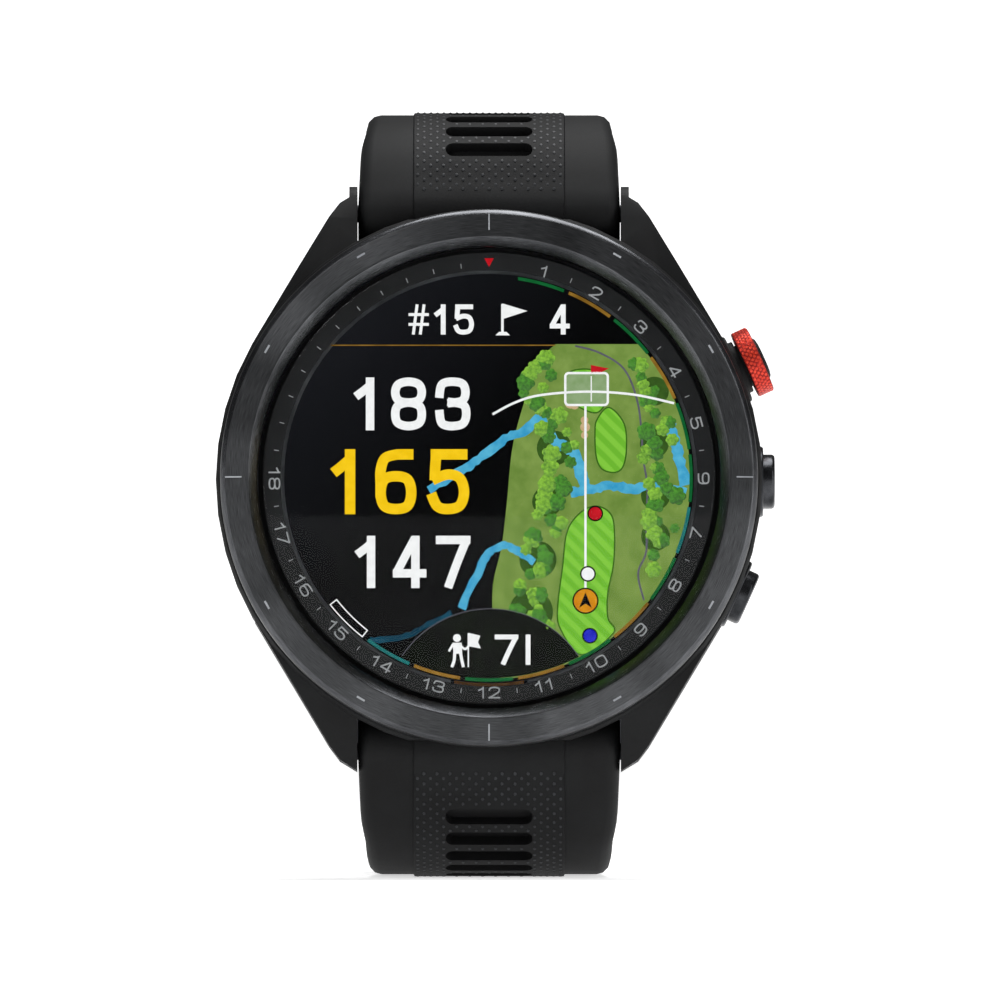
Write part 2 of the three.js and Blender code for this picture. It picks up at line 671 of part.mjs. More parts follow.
// A flat strip bent along a strap's line, with its tip rounded where tipLength is set.
function bentStrip(line, steps, tipLength) {
  const tipSteps = tipLength > 0 ? 8 : 0;
  const body = line.length - tipLength;
  const stations = Array.from({ length: steps + 1 }, (_, i) => body * i / steps);
  for (let i = 1; i <= tipSteps; i += 1) {
    stations.push(body + tipLength * Math.sin(Math.PI / 2 * i / tipSteps) * 0.998);
  }
  const rows = stations.length - 1;
  const strip = new THREE.BoxGeometry(2, 1, 2, 1, rows, 1);
  const points = strip.attributes.position;
  for (let i = 0; i < points.count; i += 1) {
    const s = stations[Math.round((points.getY(i) + 0.5) * rows)];
    const intoTip = tipLength > 0 ? Math.max(s - body, 0) / tipLength : 0;
    const half = widthAt(s) / 2 * Math.sqrt(1 - intoTip ** 2);
    const lift = points.getZ(i) * thicknessAt(s) / 2;
    const { depth, height, heading } = line.at(s);
    const [up, back] = [height + lift * Math.cos(heading), depth - lift * Math.sin(heading)];
    points.setXYZ(i, points.getX(i) * half, up, -back);
  }
  return closed(strip);
}

// The round end about the lug pin, bored for it, with a pocket on the wrist side for the claw.
function strapRoot(line) {
  const { side } = line;
  const at = line.frameAt(0);
  const barrel = crossRod(BARREL_RADIUS, -strapHalf, strapHalf).applyMatrix4(at);
  const bore = crossRod(PIN_RADIUS + GAP, -strapHalf - 1, strapHalf + 1).applyMatrix4(at);
  const half = CLAW.width / 2 + GAP;
  const socket = crossRod(CLAW.radius + GAP, -half, half, [0, 0]).applyMatrix4(at);
  const roof = side * (GAP * 2);
  const pocket = (from, to, high) => {
    const profile = [[from, high], [to, high], [to, -side * 8], [from, -side * 8]];
    return pulledAcross(profile, -half, half).applyMatrix4(at);
  };
  const deep = pocket(-4, CLAW.length + GAP, roof);
  const shallow = pocket(0, CLAW.length + 2, -side * 2);
  return { barrel, tools: [bore, socket, deep, shallow] };
}

function shortStrap(line) {
  const { barrel, tools } = strapRoot(line);
  const at = line.frameAt(line.length);
  const endBarrel = crossRod(endBarrelRadius, -endHalf, endHalf).applyMatrix4(at);
  const bore = crossRod(BAR_RADIUS + GAP, -endHalf - 1, endHalf + 1).applyMatrix4(at);
  const half = TONGUE.width / 2 + GAP * 2;
  const notch = pulledAcross([[-3, -6], [4, -6], [4, 6], [-3, 6]], -half, half).applyMatrix4(at);
  return cut(joined(bentStrip(line, 24, 0), barrel, endBarrel), ...tools, bore, notch);
}

function longStrap(line) {
  const { barrel, tools } = strapRoot(line);
  const holes = Array.from({ length: STRAP_HOLES.count }, (_, i) => {
    const s = line.length - STRAP_HOLES.fromTip - i * STRAP_HOLES.pitch;
    const { radius } = STRAP_HOLES;
    const drill = new THREE.CylinderGeometry(radius, radius, STRAP_THICKNESS * 2, 8);
    return drill.applyMatrix4(line.frameAt(s));
  });
  return cut(joined(bentStrip(line, 36, TIP_LENGTH), barrel), ...tools, ...holes);
}

// The metal hook inside the strap's end that snaps on to the lug pin.
function claw({ side }) {
  const { width, length, radius } = CLAW;
  const [high, low] = [side * GAP, -side * (radius + CLAW_SKIN)];
  const profile = [[0, high], [length, high], [length, low], [0, low]];
  const shank = pulledAcross(profile, -width / 2, width / 2);
  const hook = crossRod(radius, -width / 2, width / 2);
  return cut(joined(shank, hook), crossRod(PIN_RADIUS + FIT_GAP, -width, width));
}

// The sliding latch under the hook, with a ridge for the fingertip.
function latch({ side }) {
  const { start } = LATCH;
  const end = start + LATCH.length;
  const face = -side * (CLAW.radius + CLAW_SKIN + GAP);
  const under = face - side * LATCH.thickness;
  const ridge = under - side * LATCH.grip;
  const profile = [
    [start, face], [end, face], [end, under], [end - 0.8, under], [end - 1, ridge],
    [end - 1.6, ridge], [end - 1.8, under], [start, under],
  ];
  return pulledAcross(profile, -LATCH.width / 2, LATCH.width / 2);
}

// ---------------------------------------------------------------- buckle and keepers

// Places a piece drawn as (x, distance along the strap) and pulled through its thickness.
const flatOnStrap = (geometry) => geometry.rotateX(-Math.PI / 2);

function buckleFrame() {
  const inner = endHalf + SLIDE_GAP;
  const outer = inner + BUCKLE.armWidth;
  const { reach, crossbar, thickness, heel } = BUCKLE;
  const window = reach - crossbar;
  const half = [
    [outer - 2.5, reach], [outer - 0.8, reach - 0.8], [outer, reach - 2.5], [outer, 0.5 - heel],
    [outer - 0.6, -heel], [inner, -heel], [inner, window - 1], [inner - 1, window],
  ];
  const mirrored = half.map(([x, along]) => [-x, along]).reverse();
  const options = { depth: thickness, bevelEnabled: false };
  const frame = new THREE.ExtrudeGeometry(outline([...half, ...mirrored]), options);
  const reachOfBore = buckleBarHalf + GAP;
  const bore = crossRod(BAR_RADIUS + STACK_GAP, -reachOfBore, reachOfBore);
  return cut(flatOnStrap(frame.translate(0, 0, -thickness / 2)), bore);
}

function buckleTongue() {
  const { width, thickness } = TONGUE;
  const [over, reach] = [BUCKLE.thickness / 2 + GAP, BUCKLE.reach + 0.4];
  const start = BUCKLE.reach - BUCKLE.crossbar - 0.6;
  const top = over + thickness;
  const shaft = [
    [0, 0.4], [1.2, 0.4], [start - 1, over - 0.3], [start, over], [reach, over],
    [reach, top - 0.4], [reach - 0.4, top], [start - 1, top], [0, 1.5],
  ];
  const ring = crossRod(TONGUE.ring, -width / 2, width / 2);
  const bore = crossRod(BAR_RADIUS + FIT_GAP, -width, width);
  return cut(joined(pulledAcross(shaft, -width / 2, width / 2), ring), bore);
}

// A loop round the strap, with room on its outer side for the other strap's tail.
function keeper() {
  const inner = endHalf + SLIDE_GAP;
  const [low, high] = [-STRAP_THICKNESS / 2 - SLIDE_GAP, STRAP_THICKNESS * 1.5 + SLIDE_GAP * 2];
  const { wall, length } = KEEPER;
  const shape = outline([
    [-inner - wall, low], [-inner, low - wall], [inner, low - wall], [inner + wall, low],
    [inner + wall, high], [inner, high + wall], [-inner, high + wall], [-inner - wall, high],
  ]);
  const loop = new THREE.ExtrudeGeometry(shape, { depth: length, bevelEnabled: false });
  const hole = new THREE.BoxGeometry(inner * 2, high - low, length * 2);
  return cut(loop.translate(0, 0, -length / 2), hole.translate(0, (low + high) / 2, 0));
}

// ---------------------------------------------------------------- assembly

function headPieces() {
  const head = new THREE.Group();
  const batteryFront = boardBack + GAP;
  const motorBack = batteryFront + MOTOR.thickness;
  const gasketFront = ringBack + STACK_GAP;
  const gasketInner = cavityRadius - 0.1;
  const sealFront = spigotFront + (SPIGOT_DEPTH - SEAL.thickness) / 2;
  const sensorBack = windowBase - SENSOR.below;
  const sensorFront = sensorBack - SENSOR.height;
  const sensorBoard = sensorFront - FIT_GAP - SENSOR.board;
  const [halfWidth, halfLength] = [SENSOR.width / 2, SENSOR.length / 2];
  const lugPin = (side) => crossRod(PIN_RADIUS, -pinHalf, pinHalf, [PIN_DEPTH, side * pinReach]);
  head.add(
    piece('main_housing', mainHousing(), 'matteBlack'),
    piece('bezel_ring', bezelRing(), 'brushedGrey'),
    piece('cover_lens', coverLens(), 'glass'),
    piece('number_ring', flatRing(ringInner, lensRadius - 0.1, ringFront, ringBack), 'glass'),
    piece('lens_gasket', flatRing(gasketInner, lensRadius, gasketFront, BEZEL_HEIGHT), 'blackSeal'),
    piece('display_panel', flatDisc(displayRadius, ringFront, displayBack), 'screen'),
    piece('display_tray', displayTray(), 'magnesium'),
    piece('display_flex', displayFlex(), 'amberFilm'),
    piece('main_board', flatDisc(boardRadius, boardFront, boardBack, MEDIUM), 'boardGreen'),
    piece('processor_shield', roundedBlock(SHIELD, batteryFront, 0.8), 'shieldSteel'),
    piece('battery_cell', roundedBlock(BATTERY, batteryFront, 1.5), 'foil'),
    piece('vibration_motor', depthRod(MOTOR.radius, batteryFront, motorBack, [MOTOR.x, MOTOR.y]),
      'shieldSteel'),
    piece('gps_antenna', antennaStrip(), 'gold'),
    piece('back_cover', backCover(), 'matteBlack'),
    piece('back_cover_seal', flatRing(spigotRadius - 0.5, spigotRadius + 0.1, sealFront,
      sealFront + SEAL.thickness), 'blackSeal'),
    piece('sensor_window', sensorWindow(), 'glass'),
    piece('sensor_board', flatDisc(WINDOW_RADIUS, sensorBoard, sensorBoard + SENSOR.board, SMALL),
      'boardGreen'),
    piece('optical_sensor', block([-halfWidth, -halfLength, sensorFront],
      [halfWidth, halfLength, sensorBack]), 'sensorWhite'),
    piece('charge_port', chargePort(), 'matteBlack'),
    piece('lug_pin_upper', lugPin(1), 'darkSteel'),
    piece('lug_pin_lower', lugPin(-1), 'darkSteel'),
  );
  contactPlaces.forEach((place, i) => {
    const start = coverFront - CONTACT.sunk;
    const pin = depthRod(CONTACT.radius, start, start + CONTACT.length, place, 12);
    head.add(piece(`charge_contact_${i + 1}`, pin, 'gold'));
  });
  screwPlaces.forEach((place, i) => {
    head.add(piece(`back_screw_${i + 1}`, backScrew(place), 'darkSteel'));
  });
  Object.entries(BUTTON_ANGLES).forEach(([place, angle]) => head.add(buttonPieces(place, angle)));
  head.rotation.x = -LEAN;
  return head;
}

function onStrap(mesh, line, s) {
  mesh.applyMatrix4(line.frameAt(s));
  return mesh;
}

function strapPieces() {
  const straps = new THREE.Group();
  const short = shortStrapLine();
  const long = longStrapLine();
  const end = short.length;
  const fixedAt = end - KEEPER.fixedAt;
  const freeAt = fixedAt - KEEPER.length - GAP;
  const bar = crossRod(BAR_RADIUS, -buckleBarHalf, buckleBarHalf);
  straps.add(
    piece('strap_short', shortStrap(short), 'silicone'),
    piece('strap_long', longStrap(long), 'silicone'),
    onStrap(piece('claw_upper', claw(short), 'darkSteel'), short, 0),
    onStrap(piece('claw_lower', claw(long), 'darkSteel'), long, 0),
    onStrap(piece('latch_slider_upper', latch(short), 'darkSteel'), short, 0),
    onStrap(piece('latch_slider_lower', latch(long), 'darkSteel'), long, 0),
    onStrap(piece('buckle_frame', buckleFrame(), 'darkSteel'), short, end),
    onStrap(piece('buckle_bar', bar, 'darkSteel'), short, end),
    onStrap(piece('buckle_tongue', buckleTongue(), 'darkSteel'), short, end),
    onStrap(piece('keeper_fixed', keeper(), 'silicone'), short, fixedAt),
    onStrap(piece('keeper_free', keeper(), 'silicone'), short, freeAt),
  );
  return straps;
}

// The watch stands with the middle of its underside at the origin.
const golfWatch = new THREE.Group();
const upright = new THREE.Group();
upright.rotation.x = Math.PI / 2;
upright.add(headPieces(), strapPieces());
golfWatch.add(upright);
const extent = new THREE.Box3().setFromObject(golfWatch, true);
const middle = extent.getCenter(new THREE.Vector3());
upright.position.set(-middle.x, -middle.y, -extent.min.z);

export default golfWatch;
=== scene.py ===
"""A golf GPS watch, dressed round its packed mechanical frame.

Sizes are in millimetres in the shells below and in metres in the panel's properties.
Face coordinates: x to 3 o'clock, y to 12 o'clock, z out of the face, from the bezel's crest.
Strap coordinates: s along the strap from the lug pin, x across it, n off its middle line.
"""

import math
import random

import bmesh
import bpy
from bpy.props import FloatProperty, FloatVectorProperty, IntProperty, PointerProperty
from bpy.types import Operator, Panel, PropertyGroup
from mathutils import Matrix, Vector


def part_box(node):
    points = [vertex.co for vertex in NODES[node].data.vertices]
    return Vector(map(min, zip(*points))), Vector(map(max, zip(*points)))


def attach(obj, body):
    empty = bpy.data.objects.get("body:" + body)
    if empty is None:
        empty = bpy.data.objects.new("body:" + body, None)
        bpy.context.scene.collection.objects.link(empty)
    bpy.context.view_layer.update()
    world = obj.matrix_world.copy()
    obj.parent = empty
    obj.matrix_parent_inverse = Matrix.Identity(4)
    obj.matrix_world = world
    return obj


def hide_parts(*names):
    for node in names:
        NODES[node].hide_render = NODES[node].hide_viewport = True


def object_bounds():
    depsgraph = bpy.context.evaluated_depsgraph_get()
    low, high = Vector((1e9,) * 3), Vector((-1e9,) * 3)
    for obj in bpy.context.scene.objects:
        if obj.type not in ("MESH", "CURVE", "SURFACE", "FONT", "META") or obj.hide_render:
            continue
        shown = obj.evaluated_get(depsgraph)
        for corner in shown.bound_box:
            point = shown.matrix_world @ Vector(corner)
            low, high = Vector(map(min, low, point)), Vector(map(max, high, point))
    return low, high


bl_info = {
    "name": "Golf GPS watch",
    "version": (1, 0, 0),
    "blender": (4, 5, 0),
    "location": "View3D > Sidebar > Golf watch",
    "description": "Builds the watch's bezel, display, case, buttons and strap on its frame",
    "category": "Add Mesh",
}

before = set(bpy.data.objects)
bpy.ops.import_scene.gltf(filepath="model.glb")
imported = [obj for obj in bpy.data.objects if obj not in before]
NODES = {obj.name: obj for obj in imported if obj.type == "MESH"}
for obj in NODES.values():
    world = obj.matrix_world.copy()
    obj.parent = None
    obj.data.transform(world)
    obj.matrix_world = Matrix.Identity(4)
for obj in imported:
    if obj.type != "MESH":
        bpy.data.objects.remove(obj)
CAD_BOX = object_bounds()
MM = 0.001
FLOOR_Z = 0.0

# ------------------------------------------------------------------ places in the frame


def middle(node):
    low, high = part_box(node)
    return (low + high) / 2


UPPER_PIN = middle("lug_pin_upper")
LOWER_PIN = middle("lug_pin_lower")
PIN_DEPTH = 8.0
LEAN = math.atan2(UPPER_PIN.y - LOWER_PIN.y, UPPER_PIN.z - LOWER_PIN.z)


def face_matrix():
    """Face coordinates in millimetres to the row frame in metres."""
    turn = Matrix.Rotation(math.pi / 2 - LEAN, 4, "X")
    out = turn.to_3x3() @ Vector((0, 0, 1))
    origin = (UPPER_PIN + LOWER_PIN) / 2 + out * PIN_DEPTH * MM
    return Matrix.Translation(origin) @ turn @ Matrix.Scale(MM, 4)


FACE = face_matrix()
ROW = Matrix.Scale(MM, 4)
BUTTON_DEPTH = 7.05
BUTTON_ANGLES = {"upper": 24.5, "middle": 0.0, "lower": -24.5}


def button_matrix(angle):
    """Coordinates with z out along a button's axis, from the watch's centre."""
    turn = Matrix.Rotation(math.radians(angle), 4, "Z") @ Matrix.Rotation(math.pi / 2, 4, "Y")
    return FACE @ Matrix.Translation((0, 0, -BUTTON_DEPTH)) @ turn


class StrapLine:
    """A strap's middle line in the upright plane: arcs and straights from the lug pin."""

    def __init__(self, pin, heading, side):
        self.side = side
        self.legs = []
        self.end = (pin.y / MM, pin.z / MM, heading)
        self.length = 0.0

    def leg(self, length, turn):
        self.legs.append((self.length, length, turn, self.end))
        self.length += length
        self.end = self.at(self.length)
        return self

    def at(self, s):
        leg = next((each for each in self.legs if s <= each[0] + each[1]), self.legs[-1])
        start, length, turn, (y, z, heading) = leg
        along = s - start
        angle = turn * along / length
        chord = along if abs(angle) < 1e-9 else along * math.sin(angle / 2) / (angle / 2)
        direction = heading + angle / 2
        return (y + chord * math.cos(direction), z + chord * math.sin(direction), heading + angle)

    def place(self, s, x, n):
        """A strap point in the row frame, in millimetres; n is positive on the outer side."""
        y, z, heading = self.at(s)
        lift = n * self.side
        middle_x = UPPER_PIN.x / MM
        return Vector((middle_x + x, y - lift * math.sin(heading), z + lift * math.cos(heading)))

    def outward(self, s):
        heading = self.at(s)[2]
        return Vector((0, -self.side * math.sin(heading), self.side * math.cos(heading)))

    def along(self, s):
        heading = self.at(s)[2]
        return Vector((0, math.cos(heading), math.sin(heading)))

    def matrix(self, s):
        """x across the strap, y along it and z outwards, at s."""
        columns = [Vector((1, 0, 0)), self.along(s), self.outward(s)]
        turn = Matrix(columns).transposed().to_4x4()
        return Matrix.Translation(self.place(s, 0, 0) * MM) @ turn @ Matrix.Scale(MM, 4)


LEAVING_ANGLE = math.radians(75)
STRAP_THICKNESS = 3.2
ROOT_THICKNESS = 4.6
ROOT_LENGTH = 14.0
STRAP_WIDTH = 22.0
END_WIDTH = 20.0
TAPER_END = 28.0
ROOT_FLARE = 0.28
ROOT_FLARE_END = 9.0
BARREL_RADIUS = 2.7
TIP_LENGTH = 9.0
HOLES = {"count": 11, "pitch": 6.2, "radius": 1.3, "from_tip": 16.0}
KEEPER_LENGTH = 5.0
SHORT_BEND = 23
SHORT_DROP = 20
LONG_FLAT = 46
LONG_BEND = 42
LONG_RISE = math.radians(85)


def short_line():
    heading = LEAVING_ANGLE - LEAN
    crest = CAD_BOX[1].z / MM - STRAP_THICKNESS / 2
    radius = (crest - UPPER_PIN.z / MM) / (1 - math.cos(heading))
    line = StrapLine(UPPER_PIN, heading, 1)
    line.leg(radius * heading, -heading).leg(SHORT_BEND * math.pi / 2, -math.pi / 2)
    return line.leg(SHORT_DROP, 0)


def long_line():
    heading = LEAVING_ANGLE + LEAN
    radius = (LOWER_PIN.z / MM - STRAP_THICKNESS / 2) / (1 - math.cos(heading))
    line = StrapLine(LOWER_PIN, -heading, -1)
    line.leg(radius * heading, heading).leg(LONG_FLAT, 0)
    return line.leg(LONG_BEND * LONG_RISE, LONG_RISE)


SHORT = short_line()
LONG = long_line()

# ------------------------------------------------------------------ shells


class Shell:
    """Points and faces of one piece, in millimetres."""

    def __init__(self):
        self.points = []
        self.faces = []
        self.slots = []

    def add(self, points, faces, slot=0):
        base = len(self.points)
        self.points += [Vector(p) for p in points]
        self.faces += [[base + i for i in face] for face in faces]
        self.slots += [slot] * len(faces)

    def rows(self, rows, slot=0, around=False, loop=False):
        """A sheet of quads; around joins each row's ends, loop joins the last row to the first."""
        width = len(rows[0])
        faces = []
        for i in range(len(rows) if loop else len(rows) - 1):
            for j in range(width if around else width - 1):
                a, b = i * width, (i + 1) % len(rows) * width
                k = (j + 1) % width
                faces.append([a + j, a + k, b + k, b + j])
        slots = slot if isinstance(slot, list) else [slot] * len(rows)
        self.add([p for row in rows for p in row], [])
        base = len(self.points) - len(rows) * width
        per_row = width if around else width - 1
        for index, face in enumerate(faces):
            self.faces.append([base + i for i in face])
            self.slots.append(slots[index // per_row])

    def flat(self, outline, z, slot=0):
        self.add([(x, y, z) for x, y in outline], [list(range(len(outline)))], slot)

    def lathe(self, profile, segments, slot=0, loop=False):
        """Turns (radius, z) points about z; a radius of 0 closes the end with a fan."""
        solid = [p for p in profile if p[0] > 0]
        turns = [2 * math.pi * k / segments for k in range(segments)]
        rows = [[(r * math.cos(a), r * math.sin(a), z) for a in turns] for r, z in solid]
        start = len(self.points)
        self.rows(rows, slot, around=True, loop=loop)
        ends = [(0, start), (-1, start + (len(rows) - 1) * segments)]
        for end, first in ends:
            if profile[end][0] == 0:
                self.points.append(Vector((0, 0, profile[end][1])))
                centre = len(self.points) - 1
                for k in range(segments):
                    self.faces.append([first + k, first + (k + 1) % segments, centre])
                    last = slot[-1] if isinstance(slot, list) else slot
                    self.slots.append(last)

    def build(self, name, matrix, materials, angle=32):
        mesh = bpy.data.meshes.new(name)
        mesh.from_pydata([matrix @ p for p in self.points], [], self.faces)
        for material in materials:
            mesh.materials.append(material)
        mesh.polygons.foreach_set("material_index", self.slots)
        work = bmesh.new()
        work.from_mesh(mesh)
        bmesh.ops.remove_doubles(work, verts=work.verts, dist=1e-7)
        bmesh.ops.triangulate(work, faces=[f for f in work.faces if len(f.verts) > 4])
        bmesh.ops.recalc_face_normals(work, faces=work.faces)
        work.to_mesh(mesh)
        work.free()
        return shown(name, mesh, angle)


def shown(name, mesh, angle=32):
    """Links a mesh as a smooth object whose edges sharper than angle stay crisp."""
    mesh.name = name
    mesh.shade_smooth()
    mesh.set_sharp_from_angle(angle=math.radians(angle))
    made = bpy.data.objects.new(name, mesh)
    bpy.context.scene.collection.objects.link(made)
    return made


def baked(source, name, materials, angle=32):
    """The evaluated mesh of a scratch object as a plain piece; the scratch object goes."""
    bpy.context.view_layer.update()
    graph = bpy.context.evaluated_depsgraph_get()
    mesh = bpy.data.meshes.new_from_object(source.evaluated_get(graph), depsgraph=graph)
    mesh.transform(source.matrix_world)
    bpy.data.objects.remove(source)
    if materials:
        mesh.materials.clear()
        for material in materials:
            mesh.materials.append(material)
    if not mesh.polygons:
        raise RuntimeError(f"{name} came out empty")
    return shown(name, mesh, angle)


def joined(name, *parts):
    """One piece from several of the same body, keeping their materials."""
    mesh = bpy.data.meshes.new(name)
    work = bmesh.new()
    materials = []
    for part in parts:
        slots = []
        for material in part.data.materials:
            if material not in materials:
                materials.append(material)
            slots.append(materials.index(material))
        start = len(work.faces)
        work.from_mesh(part.data)
        work.faces.ensure_lookup_table()
        for face in work.faces[start:]:
            face.material_index = slots[face.material_index]
        bpy.data.objects.remove(part)
    work.to_mesh(mesh)
    work.free()
    for material in materials:
        mesh.materials.append(material)
    return shown(name, mesh)


SHARP_EDGE = math.radians(25)


def softened(node, name, width, materials, segments=3):
    """A hard piece's own shape with its edges rounded off, as a moulded or tumbled part has."""
    mesh = NODES[node].data.copy()
    work = bmesh.new()
    work.from_mesh(mesh)
    bmesh.ops.remove_doubles(work, verts=work.verts, dist=1e-6)
    bmesh.ops.dissolve_limit(work, angle_limit=math.radians(1.5), verts=work.verts, edges=work.edges)
    work.to_mesh(mesh)
    work.free()
    scratch = bpy.data.objects.new(name, mesh)
    bpy.context.scene.collection.objects.link(scratch)
    bevel = scratch.modifiers.new("edges", "BEVEL")
    bevel.width = width * MM
    bevel.segments = segments
    bevel.limit_method = "ANGLE"
    bevel.angle_limit = SHARP_EDGE
    bevel.harden_normals = False
    bevel.use_clamp_overlap = True
    return baked(scratch, name, materials, 40)


# Each character is a list of strokes in a unit box; a stroke's flag says if it closes.
BOWL = (
    (0.5, 1.0), (0.88, 0.94), (1.0, 0.76), (0.88, 0.58), (0.5, 0.53), (0.12, 0.58), (0.0, 0.76),
    (0.12, 0.94),
)
BELLY = (
    (0.5, 0.53), (0.9, 0.46), (1.0, 0.27), (0.9, 0.07), (0.5, 0.0), (0.1, 0.07), (0.0, 0.27),
    (0.1, 0.46),
)
CHARACTERS = {
    "0": [([(0.5, 1.0), (0.88, 0.93), (1.0, 0.72), (1.0, 0.28), (0.88, 0.07), (0.5, 0.0), (0.12, 0.07),
            (0.0, 0.28), (0.0, 0.72), (0.12, 0.93)], True)],
    "1": [([(0.62, 0.0), (0.62, 0.5), (0.62, 1.0)], False),
          ([(0.52, 0.88), (0.3, 0.8), (0.05, 0.72)], False)],
    "2": [([(0.02, 0.74), (0.1, 0.92), (0.5, 1.0), (0.88, 0.93), (0.98, 0.73), (0.84, 0.5), (0.45, 0.25),
            (0.02, 0.0)], False),
          ([(0.0, 0.0), (0.5, 0.0), (1.0, 0.0)], False)],
    "3": [([(0.0, 0.73), (0.03, 0.87), (0.16, 0.97), (0.5, 1.0), (0.86, 0.95), (0.97, 0.76), (0.84, 0.57),
            (0.45, 0.53)], False),
          ([(0.45, 0.53), (0.88, 0.48), (1.0, 0.27), (0.88, 0.06), (0.5, 0.0), (0.16, 0.03),
            (0.03, 0.13), (0.0, 0.27)], False)],
    "4": [([(0.66, 0.97), (0.36, 0.64), (0.08, 0.32)], False),
          ([(0.04, 0.24), (0.5, 0.24), (1.0, 0.24)], False),
          ([(0.74, 1.0), (0.74, 0.5), (0.74, 0.0)], False)],
    "5": [([(0.94, 1.0), (0.5, 1.0), (0.08, 1.0)], False), ([(0.08, 0.9), (0.06, 0.78), (0.05, 0.62)], False),
          ([(0.12, 0.56), (0.45, 0.63), (0.85, 0.57), (1.0, 0.32), (0.87, 0.07), (0.5, 0.0), (0.13, 0.05),
            (0.0, 0.2)], False)],
    "6": [([(0.9, 1.0), (0.7, 1.0), (0.45, 0.99), (0.13, 0.92), (0.0, 0.7), (0.0, 0.45), (0.0, 0.3)], False),
          ([(0.5, 0.6), (0.88, 0.54), (1.0, 0.3), (0.88, 0.06), (0.5, 0.0), (0.12, 0.06), (0.0, 0.3),
            (0.12, 0.54)], True)],
    "7": [([(0.0, 1.0), (0.5, 1.0), (1.0, 1.0)], False), ([(0.95, 0.92), (0.64, 0.46), (0.36, 0.0)], False)],
    "8": [(list(BOWL), True), (list(BELLY), True)],
    "9": [([(0.5, 1.0), (0.88, 0.94), (1.0, 0.7), (0.88, 0.46), (0.5, 0.4), (0.12, 0.46), (0.0, 0.7),
            (0.12, 0.94)], True),
          ([(1.0, 0.7), (1.0, 0.4), (0.9, 0.12), (0.5, 0.0), (0.2, 0.03), (0.06, 0.14)], False)],
    "I": [([(0.5, 0.0), (0.5, 0.5), (0.5, 1.0)], False)],
    "#": [([(0.2, 0.0), (0.3, 0.5), (0.4, 1.0)], False), ([(0.6, 0.0), (0.7, 0.5), (0.8, 1.0)], False),
          ([(0.0, 0.68), (0.5, 0.68), (1.0, 0.68)], False), ([(0.0, 0.32), (0.5, 0.32), (1.0, 0.32)], False)],
}
# How wide and how thick some characters are drawn, as shares of the usual width and stroke.
NARROW = {"1": 0.72, "I": 0.2, "#": 1.15}
FINE = {"#": 0.6}


def characters(shell, text, centre, height, z, slot=0, turn=0.0, weight=0.16, wide=0.62, gap=0.34):
    """Stroked characters of a height about centre; weight, wide and gap are shares of it."""
    widths = [height * wide * NARROW.get(letter, 1.0) for letter in text]
    total = sum(widths) + gap * height * (len(text) - 1)
    left = -total / 2
    spin = Matrix.Rotation(turn, 2)
    for letter, width in zip(text, widths):
        pen = weight * height * FINE.get(letter, 1.0)
        for points, closed in CHARACTERS[letter]:
            fitted = []
            for x, y in points:
                flat = Vector((left + x * width, (y - 0.5) * (height - pen)))
                fitted.append(tuple(spin @ flat + Vector(centre)))
            if closed:
                frame_line(shell, [tuple(p) for p in smooth_path(fitted, 5, True)], pen, z, slot)
            else:
                ribbon(shell, extended(fitted, pen / 2), pen, z, slot)
        left += width + gap * height


def extended(points, reach):
    """A stroke with its ends carried on by reach, as a square pen leaves them."""
    first, last = Vector(points[0]), Vector(points[-1])
    start = first + (first - Vector(points[1])).normalized() * reach
    end = last + (last - Vector(points[-2])).normalized() * reach
    return [tuple(start), *points[1:-1], tuple(end)]


# ------------------------------------------------------------------ repeated things


